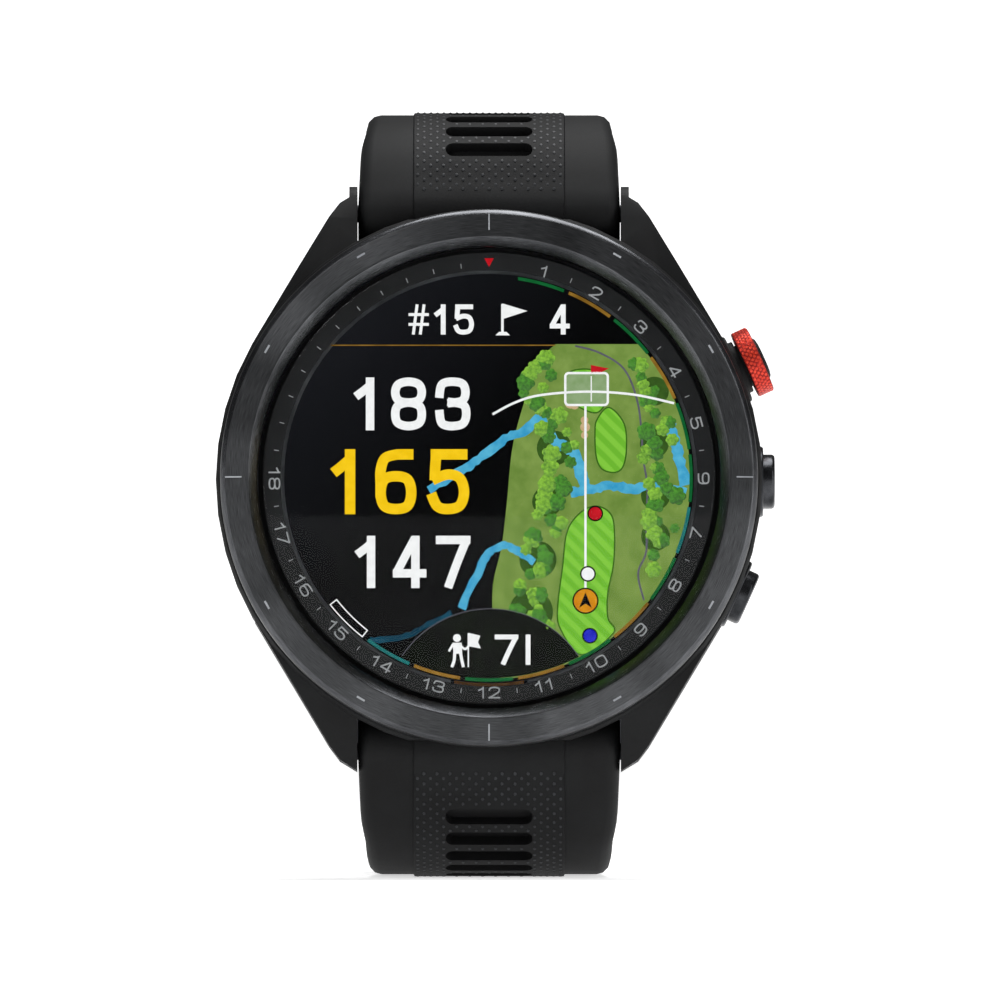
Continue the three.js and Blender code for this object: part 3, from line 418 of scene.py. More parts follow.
def repeat_tree(kind):
    """A node tree that puts one small shape on every point, turned to the point's own axes."""
    tree = bpy.data.node_groups.new(f"repeat_{kind}", "GeometryNodeTree")
    face = tree.interface
    face.new_socket("Points", in_out="INPUT", socket_type="NodeSocketGeometry")
    face.new_socket("Size", in_out="INPUT", socket_type="NodeSocketVector")
    face.new_socket("Uneven", in_out="INPUT", socket_type="NodeSocketFloat")
    face.new_socket("Material", in_out="INPUT", socket_type="NodeSocketMaterial")
    face.new_socket("Shapes", in_out="OUTPUT", socket_type="NodeSocketGeometry")
    given = add(tree, "NodeGroupInput")
    if kind == "dome":
        shape = add(tree, "GeometryNodeMeshIcoSphere", {"Radius": 0.5, "Subdivisions": 2})
    elif kind == "bead":
        shape = add(tree, "GeometryNodeMeshIcoSphere", {"Radius": 0.5, "Subdivisions": 1})
    else:
        shape = add(tree, "GeometryNodeMeshCube", {"Size": (1, 1, 1)})
    sized = add(tree, "GeometryNodeTransform", {"Geometry": shape.outputs[0]})
    tree.links.new(given.outputs["Size"], sized.inputs["Scale"])
    facing = add(tree, "GeometryNodeInputNamedAttribute", {"Name": "facing"}, data_type="FLOAT_VECTOR")
    along = add(tree, "GeometryNodeInputNamedAttribute", {"Name": "along"}, data_type="FLOAT_VECTOR")
    grow = add(tree, "GeometryNodeInputNamedAttribute", {"Name": "grow"}, data_type="FLOAT")
    stand = add(
        tree, "FunctionNodeAlignRotationToVector", {"Vector": facing.outputs[0]}, axis="Z"
    )
    turned = add(
        tree,
        "FunctionNodeAlignRotationToVector",
        {"Rotation": stand.outputs[0], "Vector": along.outputs[0]},
        axis="Y",
        pivot_axis="Z",
    )
    chance = add(tree, "FunctionNodeRandomValue", {"Seed": 7}, data_type="FLOAT")
    low = add(tree, "ShaderNodeMath", {0: 1.0, 1: given.outputs["Uneven"]}, operation="SUBTRACT")
    high = add(tree, "ShaderNodeMath", {0: 1.0, 1: given.outputs["Uneven"]}, operation="ADD")
    floats = [socket for socket in chance.inputs if socket.type == "VALUE"]
    tree.links.new(low.outputs[0], floats[0])
    tree.links.new(high.outputs[0], floats[1])
    value = next(socket for socket in chance.outputs if socket.type == "VALUE")
    scale = add(tree, "ShaderNodeMath", {0: grow.outputs[0], 1: value}, operation="MULTIPLY")
    placed = add(
        tree,
        "GeometryNodeInstanceOnPoints",
        {
            "Points": given.outputs["Points"],
            "Instance": sized.outputs[0],
            "Rotation": turned.outputs[0],
            "Scale": scale.outputs[0],
        },
    )
    real = add(tree, "GeometryNodeRealizeInstances", {"Geometry": placed.outputs[0]})
    painted = add(tree, "GeometryNodeSetMaterial", {"Geometry": real.outputs[0]})
    tree.links.new(given.outputs["Material"], painted.inputs["Material"])
    end = add(tree, "NodeGroupOutput")
    tree.links.new(painted.outputs[0], end.inputs[0])
    return tree


def repeated(name, kind, spots, size, material, matrix=ROW, uneven=0.0):
    """Puts a shape of size on every (place, facing, along, grow) spot, as one plain mesh."""
    mesh = bpy.data.meshes.new(name)
    mesh.from_pydata([matrix @ Vector(spot[0]) for spot in spots], [], [])
    turn = matrix.to_3x3().normalized()
    for key, index in (("facing", 1), ("along", 2)):
        layer = mesh.attributes.new(key, "FLOAT_VECTOR", "POINT")
        for item, spot in zip(layer.data, spots):
            item.vector = turn @ Vector(spot[index])
    layer = mesh.attributes.new("grow", "FLOAT", "POINT")
    for item, spot in zip(layer.data, spots):
        item.value = spot[3] if len(spot) > 3 else 1.0
    scratch = bpy.data.objects.new(name, mesh)
    bpy.context.scene.collection.objects.link(scratch)
    tree = bpy.data.node_groups.get(f"repeat_{kind}") or repeat_tree(kind)
    modifier = scratch.modifiers.new("repeat", "NODES")
    modifier.node_group = tree
    wanted = {
        "Size": [part * MM for part in size],
        "Uneven": uneven,
        "Material": material,
    }
    for item in tree.interface.items_tree:
        if item.in_out == "INPUT" and item.name in wanted:
            modifier[item.identifier] = wanted[item.name]
    return baked(scratch, name, [material])


# ------------------------------------------------------------------ materials


def linear(code):
    """An sRGB hex code as linear red, green, blue and alpha."""
    parts = [(code >> shift & 255) / 255 for shift in (16, 8, 0)]
    return [p / 12.92 if p <= 0.04045 else ((p + 0.055) / 1.055) ** 2.4 for p in parts] + [1.0]


def add(tree, kind, values=None, **settings):
    """One node with its settings, and its inputs given as numbers, colours or other sockets."""
    made = tree.nodes.new(kind)
    for key, value in settings.items():
        setattr(made, key, value)
    for key, value in (values or {}).items():
        if isinstance(value, bpy.types.NodeSocket):
            tree.links.new(value, made.inputs[key])
        else:
            made.inputs[key].default_value = value
    return made


def blank(name):
    """A new material with its surface shader, both empty of pattern."""
    material = bpy.data.materials.new(name)
    material.use_nodes = True
    tree = material.node_tree
    return material, tree, tree.nodes["Principled BSDF"]


def grains(tree, size, detail=3.0):
    """Noise whose grains are size millimetres across, on the object's own coordinates."""
    where = add(tree, "ShaderNodeTexCoord").outputs["Object"]
    noise = add(
        tree, "ShaderNodeTexNoise", {"Vector": where, "Scale": 1 / (size * MM), "Detail": detail}
    )
    return noise.outputs["Fac"]


def between(tree, value, colour_a, colour_b, low=0.35, high=0.65):
    ramp = add(tree, "ShaderNodeValToRGB", {"Fac": value})
    ramp.color_ramp.elements[0].position = low
    ramp.color_ramp.elements[0].color = linear(colour_a)
    ramp.color_ramp.elements[1].position = high
    ramp.color_ramp.elements[1].color = linear(colour_b)
    return ramp.outputs["Color"]


def spread(tree, value, low, high):
    out = add(tree, "ShaderNodeMapRange", {"Value": value, "To Min": low, "To Max": high})
    return out.outputs[0]


def relief(tree, value, height):
    """The normal of a surface whose pattern stands up to height millimetres proud."""
    values = {"Height": value, "Distance": height * MM, "Strength": 1.0}
    return add(tree, "ShaderNodeBump", values).outputs[0]


def grained(name, dark, light, rough, grain, height, patch=6.0, metal=0.0, coat=0.0, gloss=0.3):
    """The common build: two tones in soft patches, a fine grain in relief and uneven gloss."""
    material, tree, shader = blank(name)
    patches = grains(tree, patch)
    fine = grains(tree, grain, 2.0)
    tree.links.new(between(tree, patches, dark, light), shader.inputs["Base Color"])
    tree.links.new(spread(tree, fine, rough[0], rough[1]), shader.inputs["Roughness"])
    tree.links.new(relief(tree, fine, height), shader.inputs["Normal"])
    shader.inputs["Metallic"].default_value = metal
    if not metal:
        shader.inputs["Specular IOR Level"].default_value = gloss
    if coat:
        shader.inputs["Coat Weight"].default_value = coat
        shader.inputs["Coat Roughness"].default_value = 0.15
    return material


def on_face(tree):
    """The radius from the dial's centre, the angle round it and the flat place, as sockets."""
    where = add(tree, "ShaderNodeTexCoord").outputs["Object"]
    flat = add(
        tree,
        "ShaderNodeMapping",
        {
            "Vector": where,
            "Location": FACE.translation,
            "Rotation": (math.pi / 2 - LEAN, 0, 0),
        },
        vector_type="TEXTURE",
    )
    parts = add(tree, "ShaderNodeSeparateXYZ", {0: flat.outputs[0]})
    radius = add(
        tree, "ShaderNodeVectorMath", {0: flat_only(tree, parts)}, operation="LENGTH"
    ).outputs["Value"]
    angle = add(
        tree, "ShaderNodeMath", {0: parts.outputs[1], 1: parts.outputs[0]}, operation="ARCTAN2"
    ).outputs[0]
    return radius, angle, flat.outputs[0]


def flat_only(tree, parts):
    return add(
        tree, "ShaderNodeCombineXYZ", {0: parts.outputs[0], 1: parts.outputs[1]}
    ).outputs[0]


def brushed_bezel(name, dark, light, rough):
    """Fine circular lines round the dial, with a painted reflection: slow lighter and darker sweeps round the
    ring, standing in for the brushed metal's sheen.
    """
    material, tree, shader = blank(name)
    radius, angle, _ = on_face(tree)
    lines_at = add(tree, "ShaderNodeCombineXYZ", {0: radius, 1: scaled(tree, angle, 0.0006)})
    lines = add(
        tree,
        "ShaderNodeTexNoise",
        {"Vector": lines_at.outputs[0], "Scale": 1 / (0.035 * MM), "Detail": 3.0},
    ).outputs["Fac"]
    # Painted reflection: a slow noise round the ring makes lighter and darker sectors, multiplied into the
    # brush lines' tone.
    painted_sheen_at = add(
        tree,
        "ShaderNodeCombineXYZ",
        {0: wave(tree, angle, "COSINE"), 1: wave(tree, angle, "SINE")},
    )
    sweep = add(
        tree, "ShaderNodeTexNoise", {"Vector": painted_sheen_at.outputs[0], "Scale": 2.6, "Detail": 2.0}
    ).outputs["Fac"]
    mixed = add(tree, "ShaderNodeMath", {0: lines, 1: sweep}, operation="MULTIPLY").outputs[0]
    tree.links.new(between(tree, mixed, dark, light, 0.12, 0.4), shader.inputs["Base Color"])
    tree.links.new(spread(tree, lines, rough[0], rough[1]), shader.inputs["Roughness"])
    tree.links.new(relief(tree, lines, 0.006), shader.inputs["Normal"])
    shader.inputs["Metallic"].default_value = 1.0
    return material


def scaled(tree, value, factor):
    return add(tree, "ShaderNodeMath", {0: value, 1: factor}, operation="MULTIPLY").outputs[0]


def wave(tree, value, kind):
    return add(tree, "ShaderNodeMath", {0: value}, operation=kind).outputs[0]


SCREEN_BLACK = 0x050505
SCREEN_GLOSS = 0.02
SCREEN_CELL = 0.06
CROWN_GLOW = 0.8
SAPPHIRE_IOR = 1.77


def glowing(tree, shader, colour, glow):
    """Makes a screen colour shine by itself, over a dull black that reflects next to nothing."""
    shader.inputs["Base Color"].default_value = linear(SCREEN_BLACK)
    shader.inputs["Roughness"].default_value = 0.5
    shader.inputs["Specular IOR Level"].default_value = SCREEN_GLOSS
    tree.links.new(colour, shader.inputs["Emission Color"])
    shader.inputs["Emission Strength"].default_value = glow


def lit(name, colour_a, colour_b, patch, glow):
    """A part of the lit screen: its colour in patches, over a fine grid of cells."""
    material, tree, shader = blank(name)
    colour = between(tree, grains(tree, patch), colour_a, colour_b, 0.3, 0.7)
    where = add(tree, "ShaderNodeTexCoord").outputs["Object"]
    cells = add(
        tree,
        "ShaderNodeTexChecker",
        {
            "Vector": where,
            "Scale": 1 / (SCREEN_CELL * MM),
            "Color1": (1, 1, 1, 1),
            "Color2": (0.9, 0.9, 0.9, 1),
        },
    )
    tint = add(
        tree, "ShaderNodeVectorMath", {0: colour, 1: cells.outputs["Color"]}, operation="MULTIPLY"
    )
    glowing(tree, shader, tint.outputs[0], glow)
    return material


def striped(name, colour_a, colour_b, width, glow):
    """Mown fairway: soft diagonal bands of two greens, width millimetres apart."""
    material, tree, shader = blank(name)
    flat = on_face(tree)[2]
    bands = add(
        tree,
        "ShaderNodeTexWave",
        {"Vector": flat, "Scale": 0.32 / (width * MM), "Distortion": 0.4, "Detail": 1.0},
        bands_direction="DIAGONAL",
    )
    colour = between(tree, bands.outputs["Fac"], colour_a, colour_b, 0.3, 0.7)
    glowing(tree, shader, colour, glow)
    return material


def tree_crowns(name, dark, light):
    """Rounded crowns lit from the upper left, as the map draws them."""
    material, tree, shader = blank(name)
    normal = add(tree, "ShaderNodeNewGeometry").outputs["Normal"]
    aim = (FACE.to_3x3().normalized() @ Vector((-0.45, 0.6, 0.65))).normalized()
    light_side = add(tree, "ShaderNodeVectorMath", {0: normal, 1: aim}, operation="DOT_PRODUCT")
    leaf = grains(tree, 0.25)
    both = add(
        tree, "ShaderNodeMath", {0: light_side.outputs["Value"], 1: leaf}, operation="MULTIPLY"
    ).outputs[0]
    colour = between(tree, both, dark, light, 0.1, 0.55)
    shader.inputs["Base Color"].default_value = linear(SCREEN_BLACK)
    tree.links.new(colour, shader.inputs["Emission Color"])
    shader.inputs["Emission Strength"].default_value = CROWN_GLOW
    return material


def clear_lens(name):
    """Thin clear crystal: see-through, with its gloss rising towards the edge of view."""
    material, tree, shader = blank(name)
    shader.inputs["Base Color"].default_value = linear(0x08090B)
    shader.inputs["IOR"].default_value = SAPPHIRE_IOR
    smudge = grains(tree, 9.0)
    tree.links.new(spread(tree, smudge, 0.02, 0.06), shader.inputs["Roughness"])
    see = add(tree, "ShaderNodeBsdfTransparent", {"Color": (0.97, 0.98, 0.98, 1)})
    far_side = add(tree, "ShaderNodeNewGeometry").outputs["Backfacing"]
    near_side = add(tree, "ShaderNodeMath", {0: 1.0, 1: far_side}, operation="SUBTRACT").outputs[0]
    fresnel = add(tree, "ShaderNodeFresnel", {"IOR": SAPPHIRE_IOR}).outputs[0]
    edge = add(tree, "ShaderNodeMath", {0: fresnel, 1: near_side}, operation="MULTIPLY")
    mixed = add(
        tree,
        "ShaderNodeMixShader",
        {"Fac": edge.outputs[0], 1: see.outputs[0], 2: shader.outputs[0]},
    )
    tree.links.new(mixed.outputs[0], tree.nodes["Material Output"].inputs["Surface"])
    return material


def dark_screen(name, dark, light):
    """The unlit screen: black, with a painted reflection glowing faint grey towards its upper left."""
    material, tree, shader = blank(name)
    parts = add(tree, "ShaderNodeSeparateXYZ", {0: on_face(tree)[2]})
    slope = add(
        tree, "ShaderNodeMath", {0: parts.outputs[1], 1: parts.outputs[0]}, operation="SUBTRACT"
    ).outputs[0]
    # Painted reflection: the glow turns from black to faint grey towards the upper left.
    painted_glare = add(
        tree, "ShaderNodeMapRange", {"Value": slope, "From Min": 0.004, "From Max": 0.026}
    ).outputs[0]
    tree.links.new(between(tree, painted_glare, dark, light, 0.0, 1.0), shader.inputs["Emission Color"])
    shader.inputs["Emission Strength"].default_value = 1.0
    shader.inputs["Base Color"].default_value = linear(0x040405)
    shader.inputs["Specular IOR Level"].default_value = SCREEN_GLOSS
    tree.links.new(spread(tree, grains(tree, 3.0), 0.25, 0.4), shader.inputs["Roughness"])
    return material


def woven_red(name, dark, light):
    """Red anodised mesh: crossed threads in relief, with painted shade darkening the gaps between them."""
    material, tree, shader = blank(name)
    where = add(tree, "ShaderNodeTexCoord").outputs["Object"]
    cells = add(
        tree,
        "ShaderNodeTexVoronoi",
        {"Vector": where, "Scale": 1 / (0.3 * MM)},
        distance="MANHATTAN",
    )
    # Painted shade: lighter at each thread's middle, darker into the gaps between threads.
    colour = between(tree, cells.outputs["Distance"], light, dark, 0.15, 0.75)
    tree.links.new(colour, shader.inputs["Base Color"])
    tree.links.new(
        spread(tree, cells.outputs["Distance"], 0.3, 0.55), shader.inputs["Roughness"]
    )
    tree.links.new(relief(tree, cells.outputs["Distance"], 0.03), shader.inputs["Normal"])
    shader.inputs["Metallic"].default_value = 0.55
    return material


MATERIALS = {}


def material(name):
    """The named material, made once."""
    if name not in MATERIALS:
        MATERIALS[name] = RECIPES[name]()
    return MATERIALS[name]


def tone(name):
    """A colour from the panel as a hex code."""
    value = getattr(bpy.context.scene.watch_colours, name)
    return int("".join(f"{round(part * 255):02x}" for part in value), 16)


RECIPES = {
    # circular brush lines on dark coated titanium, with a painted sheen sweeping lighter and darker round the
    # ring
    "bezel_brushed": lambda: brushed_bezel(
        "dark_titanium_brushed", tone("bezel"), 0x525355, (0.32, 0.5)
    ),
    # the turned inner edge of the same metal, lighter and glossier, with the same painted sheen round the
    # ring
    "bezel_polished": lambda: brushed_bezel(
        "dark_titanium_polished", 0x333436, 0x636467, (0.18, 0.32)
    ),
    # sapphire crystal, see-through with gloss
    "lens": lambda: clear_lens("sapphire_crystal"),
    # deep black printed ring with a silky surface
    "ring": lambda: grained("black_printed_ring", 0x0B0B0C, 0x121214, (0.35, 0.5), 0.05, 0.002),
    # white print with slight ink mottling, made to glow by itself as painted light
    "print": lambda: lit("white_print_glowing", 0xC4C6C8, 0xE4E6E8, 0.4, 0.55),
    # paint filled into the bezel's ticks
    "tick": lambda: grained("grey_tick_paint", 0x85888D, 0xA5A8AC, (0.4, 0.6), 0.05, 0.003),
    # the unlit screen, with a painted reflection glowing faint grey towards its upper left
    "screen": lambda: dark_screen("screen_unlit_painted_glare", 0x010101, 0x15161A),
    "white": lambda: lit("screen_white", 0xF0F0F0, 0xFCFCFC, 0.5, 1.15),
    "yellow": lambda: lit("screen_yellow", 0xF4C40C, 0xFFD11C, 0.8, 1.15),
    "gold": lambda: lit("screen_gold", 0x8A6420, 0xB98A34, 1.2, 0.8),
    "green": lambda: lit("screen_ring_green", 0x0F6E34, 0x168040, 0.8, 0.7),
    "teal": lambda: lit("screen_ring_teal", 0x1F7E7C, 0x2A9492, 0.8, 0.7),
    "rough": lambda: lit("map_rough", 0x789A42, 0x94B258, 1.4, 0.86),
    "shade": lambda: lit("map_shade", 0x3A5F22, 0x4A7429, 0.7, 0.75),
    "fairway": lambda: striped("map_fairway", 0x76C434, 0x8CD644, 0.7, 0.95),
    "fairway_edge": lambda: lit("map_fairway_edge", 0x457A22, 0x4F8826, 0.6, 0.7),
    "water": lambda: lit("map_water", 0x38A8DC, 0x66CCF0, 0.9, 0.9),
    "water_dim": lambda: lit("map_water_dim", 0x0E3F55, 0x18607C, 0.9, 0.7),
    "path": lambda: lit("map_path", 0x6C6A78, 0x7E7C88, 0.5, 0.7),
    "sand": lambda: lit("map_sand", 0xE6C08E, 0xF2D6AA, 0.4, 0.8),
    "crown": lambda: tree_crowns("map_crowns", 0x226E0C, 0xB0F044),
    "deep_crown": lambda: tree_crowns("map_deep_crowns", 0x0E3E07, 0x5CB824),
    "red_dot": lambda: lit("screen_red", 0xD81420, 0xEE2030, 0.5, 0.8),
    "blue_dot": lambda: lit("screen_blue", 0x2024C8, 0x3038E8, 0.5, 0.9),
    "orange_dot": lambda: lit("screen_orange", 0xE08A0C, 0xF6A81E, 0.6, 0.9),
    "ink": lambda: lit("screen_black", 0x050505, 0x0C0C0C, 0.5, 0.6),
    "dome_dark": lambda: lit("screen_dome", 0x050605, 0x0E140A, 2.0, 0.9),
    "target": lambda: lit("screen_target_fill", 0x9CBF80, 0xB4D09C, 0.8, 0.75),
    # glass-filled nylon: matte with a very fine moulded grain
    "housing": lambda: grained(
        "moulded_nylon", tone("case"), 0x101112, (0.5, 0.68), 0.12, 0.006, gloss=0.2
    ),
    # soft-touch silicone: faint dusty patches and a micro grain
    "silicone": lambda: grained(
        "silicone_rubber", tone("strap"), 0x111213, (0.58, 0.75), 0.09, 0.006, 5.0, gloss=0.22
    ),
    # the same silicone inside slots and holes, a little glossier and painted darker there as shade
    "shaded_silicone": lambda: grained(
        "silicone_in_slots_painted_shade", 0x060607, 0x0B0B0C, (0.5, 0.65), 0.09, 0.004, 5.0
    ),
    # the strap's dots: the same silicone painted lighter, as a painted highlight on each dot
    "highlit_silicone_dot": lambda: grained(
        "silicone_dots", 0x1E1F22, 0x2C2E31, (0.4, 0.55), 0.06, 0.003, 3.0
    ),
    # dark PVD steel, lightly bead-blasted
    "steel": lambda: grained(
        "dark_pvd_steel", 0x26272A, 0x36373A, (0.24, 0.4), 0.06, 0.003, 2.5, metal=1.0
    ),
    # turned button caps, brighter than their guards
    "button": lambda: grained(
        "turned_button_steel", 0x2A2B2D, 0x434447, (0.2, 0.36), 0.05, 0.003, 1.5, metal=1.0
    ),
    "red": lambda: woven_red("red_woven_metal", 0x8E130A, tone("collar")),
    "red_bead": lambda: grained(
        "red_bead_tops", 0xC42A18, 0xE8452C, (0.25, 0.4), 0.05, 0.002, 0.8, metal=0.5
    ),
    # dark optical glass over the heart sensor
    "sensor_glass": lambda: grained(
        "sensor_glass", 0x08090A, 0x0E1012, (0.04, 0.09), 0.4, 0.001, 4.0, coat=0.6
    ),
    "gold_pin": lambda: grained(
        "gold_plating", 0xB08428, 0xD0A444, (0.18, 0.3), 0.05, 0.002, 0.5, metal=1.0
    ),
    "bright_steel": lambda: grained(
        "bright_steel", 0x8E9094, 0xB2B4B8, (0.2, 0.35), 0.06, 0.002, 1.5, metal=1.0
    ),
    "magnesium": lambda: grained(
        "cast_magnesium", 0x707275, 0x8E9093, (0.45, 0.6), 0.15, 0.01, 3.0, metal=1.0
    ),
    "film": lambda: grained("polyimide_film", 0x9A5A14, 0xC27A22, (0.25, 0.4), 0.3, 0.004, 1.0),
    "board": lambda: grained("solder_mask", 0x0C3A28, 0x165A3E, (0.3, 0.5), 0.2, 0.01, 0.8),
    "foil": lambda: grained(
        "battery_foil", 0x8A8C90, 0xB4B6BA, (0.3, 0.5), 0.5, 0.02, 2.0, metal=1.0
    ),
    "seal": lambda: grained("seal_rubber", 0x0B0B0B, 0x151515, (0.6, 0.8), 0.05, 0.004, 1.0),
    "sensor": lambda: grained("sensor_plastic", 0xC4C5BE, 0xDEDFD8, (0.4, 0.6), 0.1, 0.004, 1.0),
}

# ------------------------------------------------------------------ properties


class WatchSizes(PropertyGroup):
    bezel_segments: IntProperty(
        name="Bezel fineness", description="Steps round the bezel", default=256, min=48
    )
    bevel: FloatProperty(
        name="Case edge", description="Rounding of the case's edges", default=0.00028, unit="LENGTH"
    )
    number_height: FloatProperty(
        name="Number height", description="Height of the ring's numbers", default=0.00102, unit="LENGTH"
    )
    number_radius: FloatProperty(
        name="Number radius", description="Radius the numbers sit on", default=0.01843, unit="LENGTH"
    )
    band_width: FloatProperty(
        name="Strap band", description="Width of the textured band", default=0.0129, unit="LENGTH"
    )
    slot_width: FloatProperty(
        name="Slot width", description="Slot size across the strap", default=0.0075, unit="LENGTH"
    )
    slot_length: FloatProperty(
        name="Slot length", description="Slot size along the strap", default=0.00142, unit="LENGTH"
    )
    slot_pitch: FloatProperty(
        name="Slot pitch", description="Distance from slot to slot", default=0.00225, unit="LENGTH"
    )
    dot_size: FloatProperty(
        name="Dot size", description="Width of the strap's dots", default=0.0003, unit="LENGTH"
    )
    dot_pitch: FloatProperty(
        name="Dot pitch", description="Distance between columns of dots", default=0.00056, unit="LENGTH"
    )


def colour_property(name, text, default):
    return FloatVectorProperty(
        name=name, description=text, default=default, subtype="COLOR_GAMMA", min=0, max=1
    )


class WatchColours(PropertyGroup):
    bezel: colour_property("Bezel", "Dark tone of the bezel", (0.17, 0.171, 0.175))
    case: colour_property("Case", "Dark tone of the case", (0.036, 0.037, 0.039))
    strap: colour_property("Strap", "Dark tone of the strap", (0.036, 0.037, 0.039))
    collar: colour_property("Collar", "Tone of the red collar", (0.86, 0.2, 0.11))


def size(name):
    return getattr(bpy.context.scene.watch_sizes, name) / MM


def ring_place(radius, clock, z=0.0):
    """A face point at a clock angle, in degrees clockwise from 12."""
    angle = math.radians(90 - clock)
    return (radius * math.cos(angle), radius * math.sin(angle), z)


def ring_spot(radius, clock, z, tilt=0.0):
    """A spot for a repeated shape, its y pointing out from the centre."""
    out = Vector(ring_place(1, clock))
    facing = Vector((0, 0, 1)) * math.cos(tilt) + out * math.sin(tilt)
    return (ring_place(radius, clock, z), facing, out)


# ------------------------------------------------------------------ case


def build_housing():
    case = softened("main_housing", "case_body", size("bevel"), [material("housing")])
    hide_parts("main_housing")
    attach(case, "head")


def build_bezel():
    shell = Shell()
    brushed, polished = 0, 1
    profile = [
        (19.85, -3.1, brushed), (19.85, -0.96, polished), (19.92, -0.84, polished),
        (20.6, -0.08, polished), (20.68, -0.01, brushed), (20.78, 0.0, brushed),
        (20.9, -0.04, brushed), (22.55, -0.39, brushed), (22.66, -0.43, polished),
        (22.92, -0.66, polished), (23.02, -0.8, brushed), (23.1, -1.0, brushed),
        (23.1, -2.86, brushed), (22.92, -3.1, brushed),
    ]
    slots = [slot for r, z, slot in profile]
    segments = bpy.context.scene.watch_sizes.bezel_segments
    shell.lathe([(r, z) for r, z, slot in profile], segments, slots, loop=True)
    ring = shell.build("bezel", FACE, [material("bezel_brushed"), material("bezel_polished")], 20)
    slope = math.atan(0.21)
    long_ticks = [ring_spot(21.95, clock, -0.262, slope) for clock in (0, 90, 180, 270)]
    short_ticks = [ring_spot(22.0, 30 * k, -0.272, slope) for k in range(12) if k % 3]
    paint = material("tick")
    quarter = repeated("long_ticks", "block", long_ticks, (0.12, 1.45, 0.03), paint, FACE)
    hours = repeated("short_ticks", "block", short_ticks, (0.77, 0.17, 0.03), paint, FACE)
    bezel = joined("bezel", ring, quarter, hours)
    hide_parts("bezel_ring")
    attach(bezel, "head")


def build_lens():
    shell = Shell()
    profile = [
        (0, -0.9), (19.2, -0.9), (19.4, -0.96), (19.55, -1.12), (19.55, -1.9), (19.45, -2.0), (0, -2.0),
    ]
    shell.lathe(profile, 192)
    lens = shell.build("crystal", FACE, [material("lens")])
    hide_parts("cover_lens")
    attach(lens, "head")


RING_FRONT = -2.2
PRINT_LIFT = 0.02


def build_number_ring():
    shell = Shell()
    edge, back = RING_FRONT - 0.02, RING_FRONT - 0.25
    profile = [
        (17.9, back), (17.9, edge), (17.93, RING_FRONT), (19.42, RING_FRONT), (19.45, edge),
        (19.45, back),
    ]
    shell.lathe(profile, 192, 0, loop=True)
    level = RING_FRONT + PRINT_LIFT
    height = size("number_height")
    radius = size("number_radius")
    for number in range(1, 19):
        clock = 15 * number
        centre = ring_place(radius, clock)[:2]
        upright = number <= 5
        turn = math.radians(-clock if upright else 180 - clock)
        characters(shell, str(number), centre, height, level, 1, turn, 0.13, 0.86, 0.28)
    index = [ring_place(18.95, -1.2)[:2], ring_place(18.95, 1.2)[:2], ring_place(18.2, 0)[:2]]
    shell.flat(index, level, 2)
    # The print, its ticks and the red index mark glow by themselves: painted light on ink.
    dial = shell.build("number_ring_plate", FACE, [material("ring"), material("print"), material("red_dot")])
    half_hours = [22.5 + 15 * k for k in range(17)] + [277.5 + 7.5 * k for k in range(11)]
    spots = [ring_spot(18.42, clock, level) for clock in half_hours]
    ticks = repeated("ring_ticks", "block", spots, (0.07, 0.42, 0.02), material("print"), FACE)
    ring = joined("number_ring", dial, ticks)
    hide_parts("number_ring")
    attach(ring, "head")


# ------------------------------------------------------------------ screen

LAYER = 0.012


def smooth_path(points, steps=6, closed=False):
    """A rounded line through points (Catmull-Rom)."""
    count = len(points)
    result = []
    last = count if closed else count - 1
    for i in range(last):
        if closed:
            four = [points[(i + k - 1) % count] for k in range(4)]
        else:
            four = [points[min(max(i + k - 1, 0), count - 1)] for k in range(4)]
        a, b, c, d = [Vector(p) for p in four]
        for step in range(steps):
            t = step / steps
            bend = (2 * a - 5 * b + 4 * c - d) * t * t + (3 * b - a - 3 * c + d) * t ** 3
            result.append(0.5 * (2 * b + (c - a) * t + bend))
    if not closed:
        result.append(Vector(points[-1]))
    return result


def ribbon(shell, points, width, z, slot, wobble=0.0, seed=1):
    """A flat line of even width, or with uneven banks for water."""
    chance = random.Random(seed)
    path = smooth_path(points)
    left, right = [], []
    for i, p in enumerate(path):
        ahead = path[min(i + 1, len(path) - 1)] - path[max(i - 1, 0)]
        side = Vector((-ahead.y, ahead.x)).normalized()
        banks = [width / 2 * (1 + wobble * chance.uniform(-1, 1)) for _ in range(2)]
        left.append((p.x + side.x * banks[0], p.y + side.y * banks[0], z))
        right.append((p.x - side.x * banks[1], p.y - side.y * banks[1], z))
    shell.rows([left, right], slot)


def disc(centre, radius, count=32):
    return [
        (
            centre[0] + radius * math.cos(2 * math.pi * k / count),
            centre[1] + radius * math.sin(2 * math.pi * k / count),
        )
        for k in range(count)
    ]


def frame_line(shell, corners, width, z, slot):
    """A closed outline of even width through corners with rounded turns."""
    count = len(corners)
    inner, outer = [], []
    for i in range(count):
        before, here, after = [Vector(corners[(i + k) % count]) for k in (-1, 0, 1)]
        sides = [Vector((-d.y, d.x)).normalized() for d in (here - before, after - here)]
        side = (sides[0] + sides[1]).normalized()
        reach = width / 2 / max(side.dot(sides[0]), 0.3)
        inner.append((here.x + side.x * reach, here.y + side.y * reach, z))
        outer.append((here.x - side.x * reach, here.y - side.y * reach, z))
    shell.rows([inner, outer], slot, around=True)


def rounded_box(x0, y0, x1, y1, radius, steps=5):
    corners = [(x1, y1, 0), (x0, y1, 90), (x0, y0, 180), (x1, y0, 270)]
    points = []
    for x, y, start in corners:
        cx = x - radius if x == x1 else x + radius
        cy = y - radius if y == y1 else y + radius
        for k in range(steps + 1):
            angle = math.radians(start + 90 * k / steps)
            points.append((cx + radius * math.cos(angle), cy + radius * math.sin(angle)))
    return points


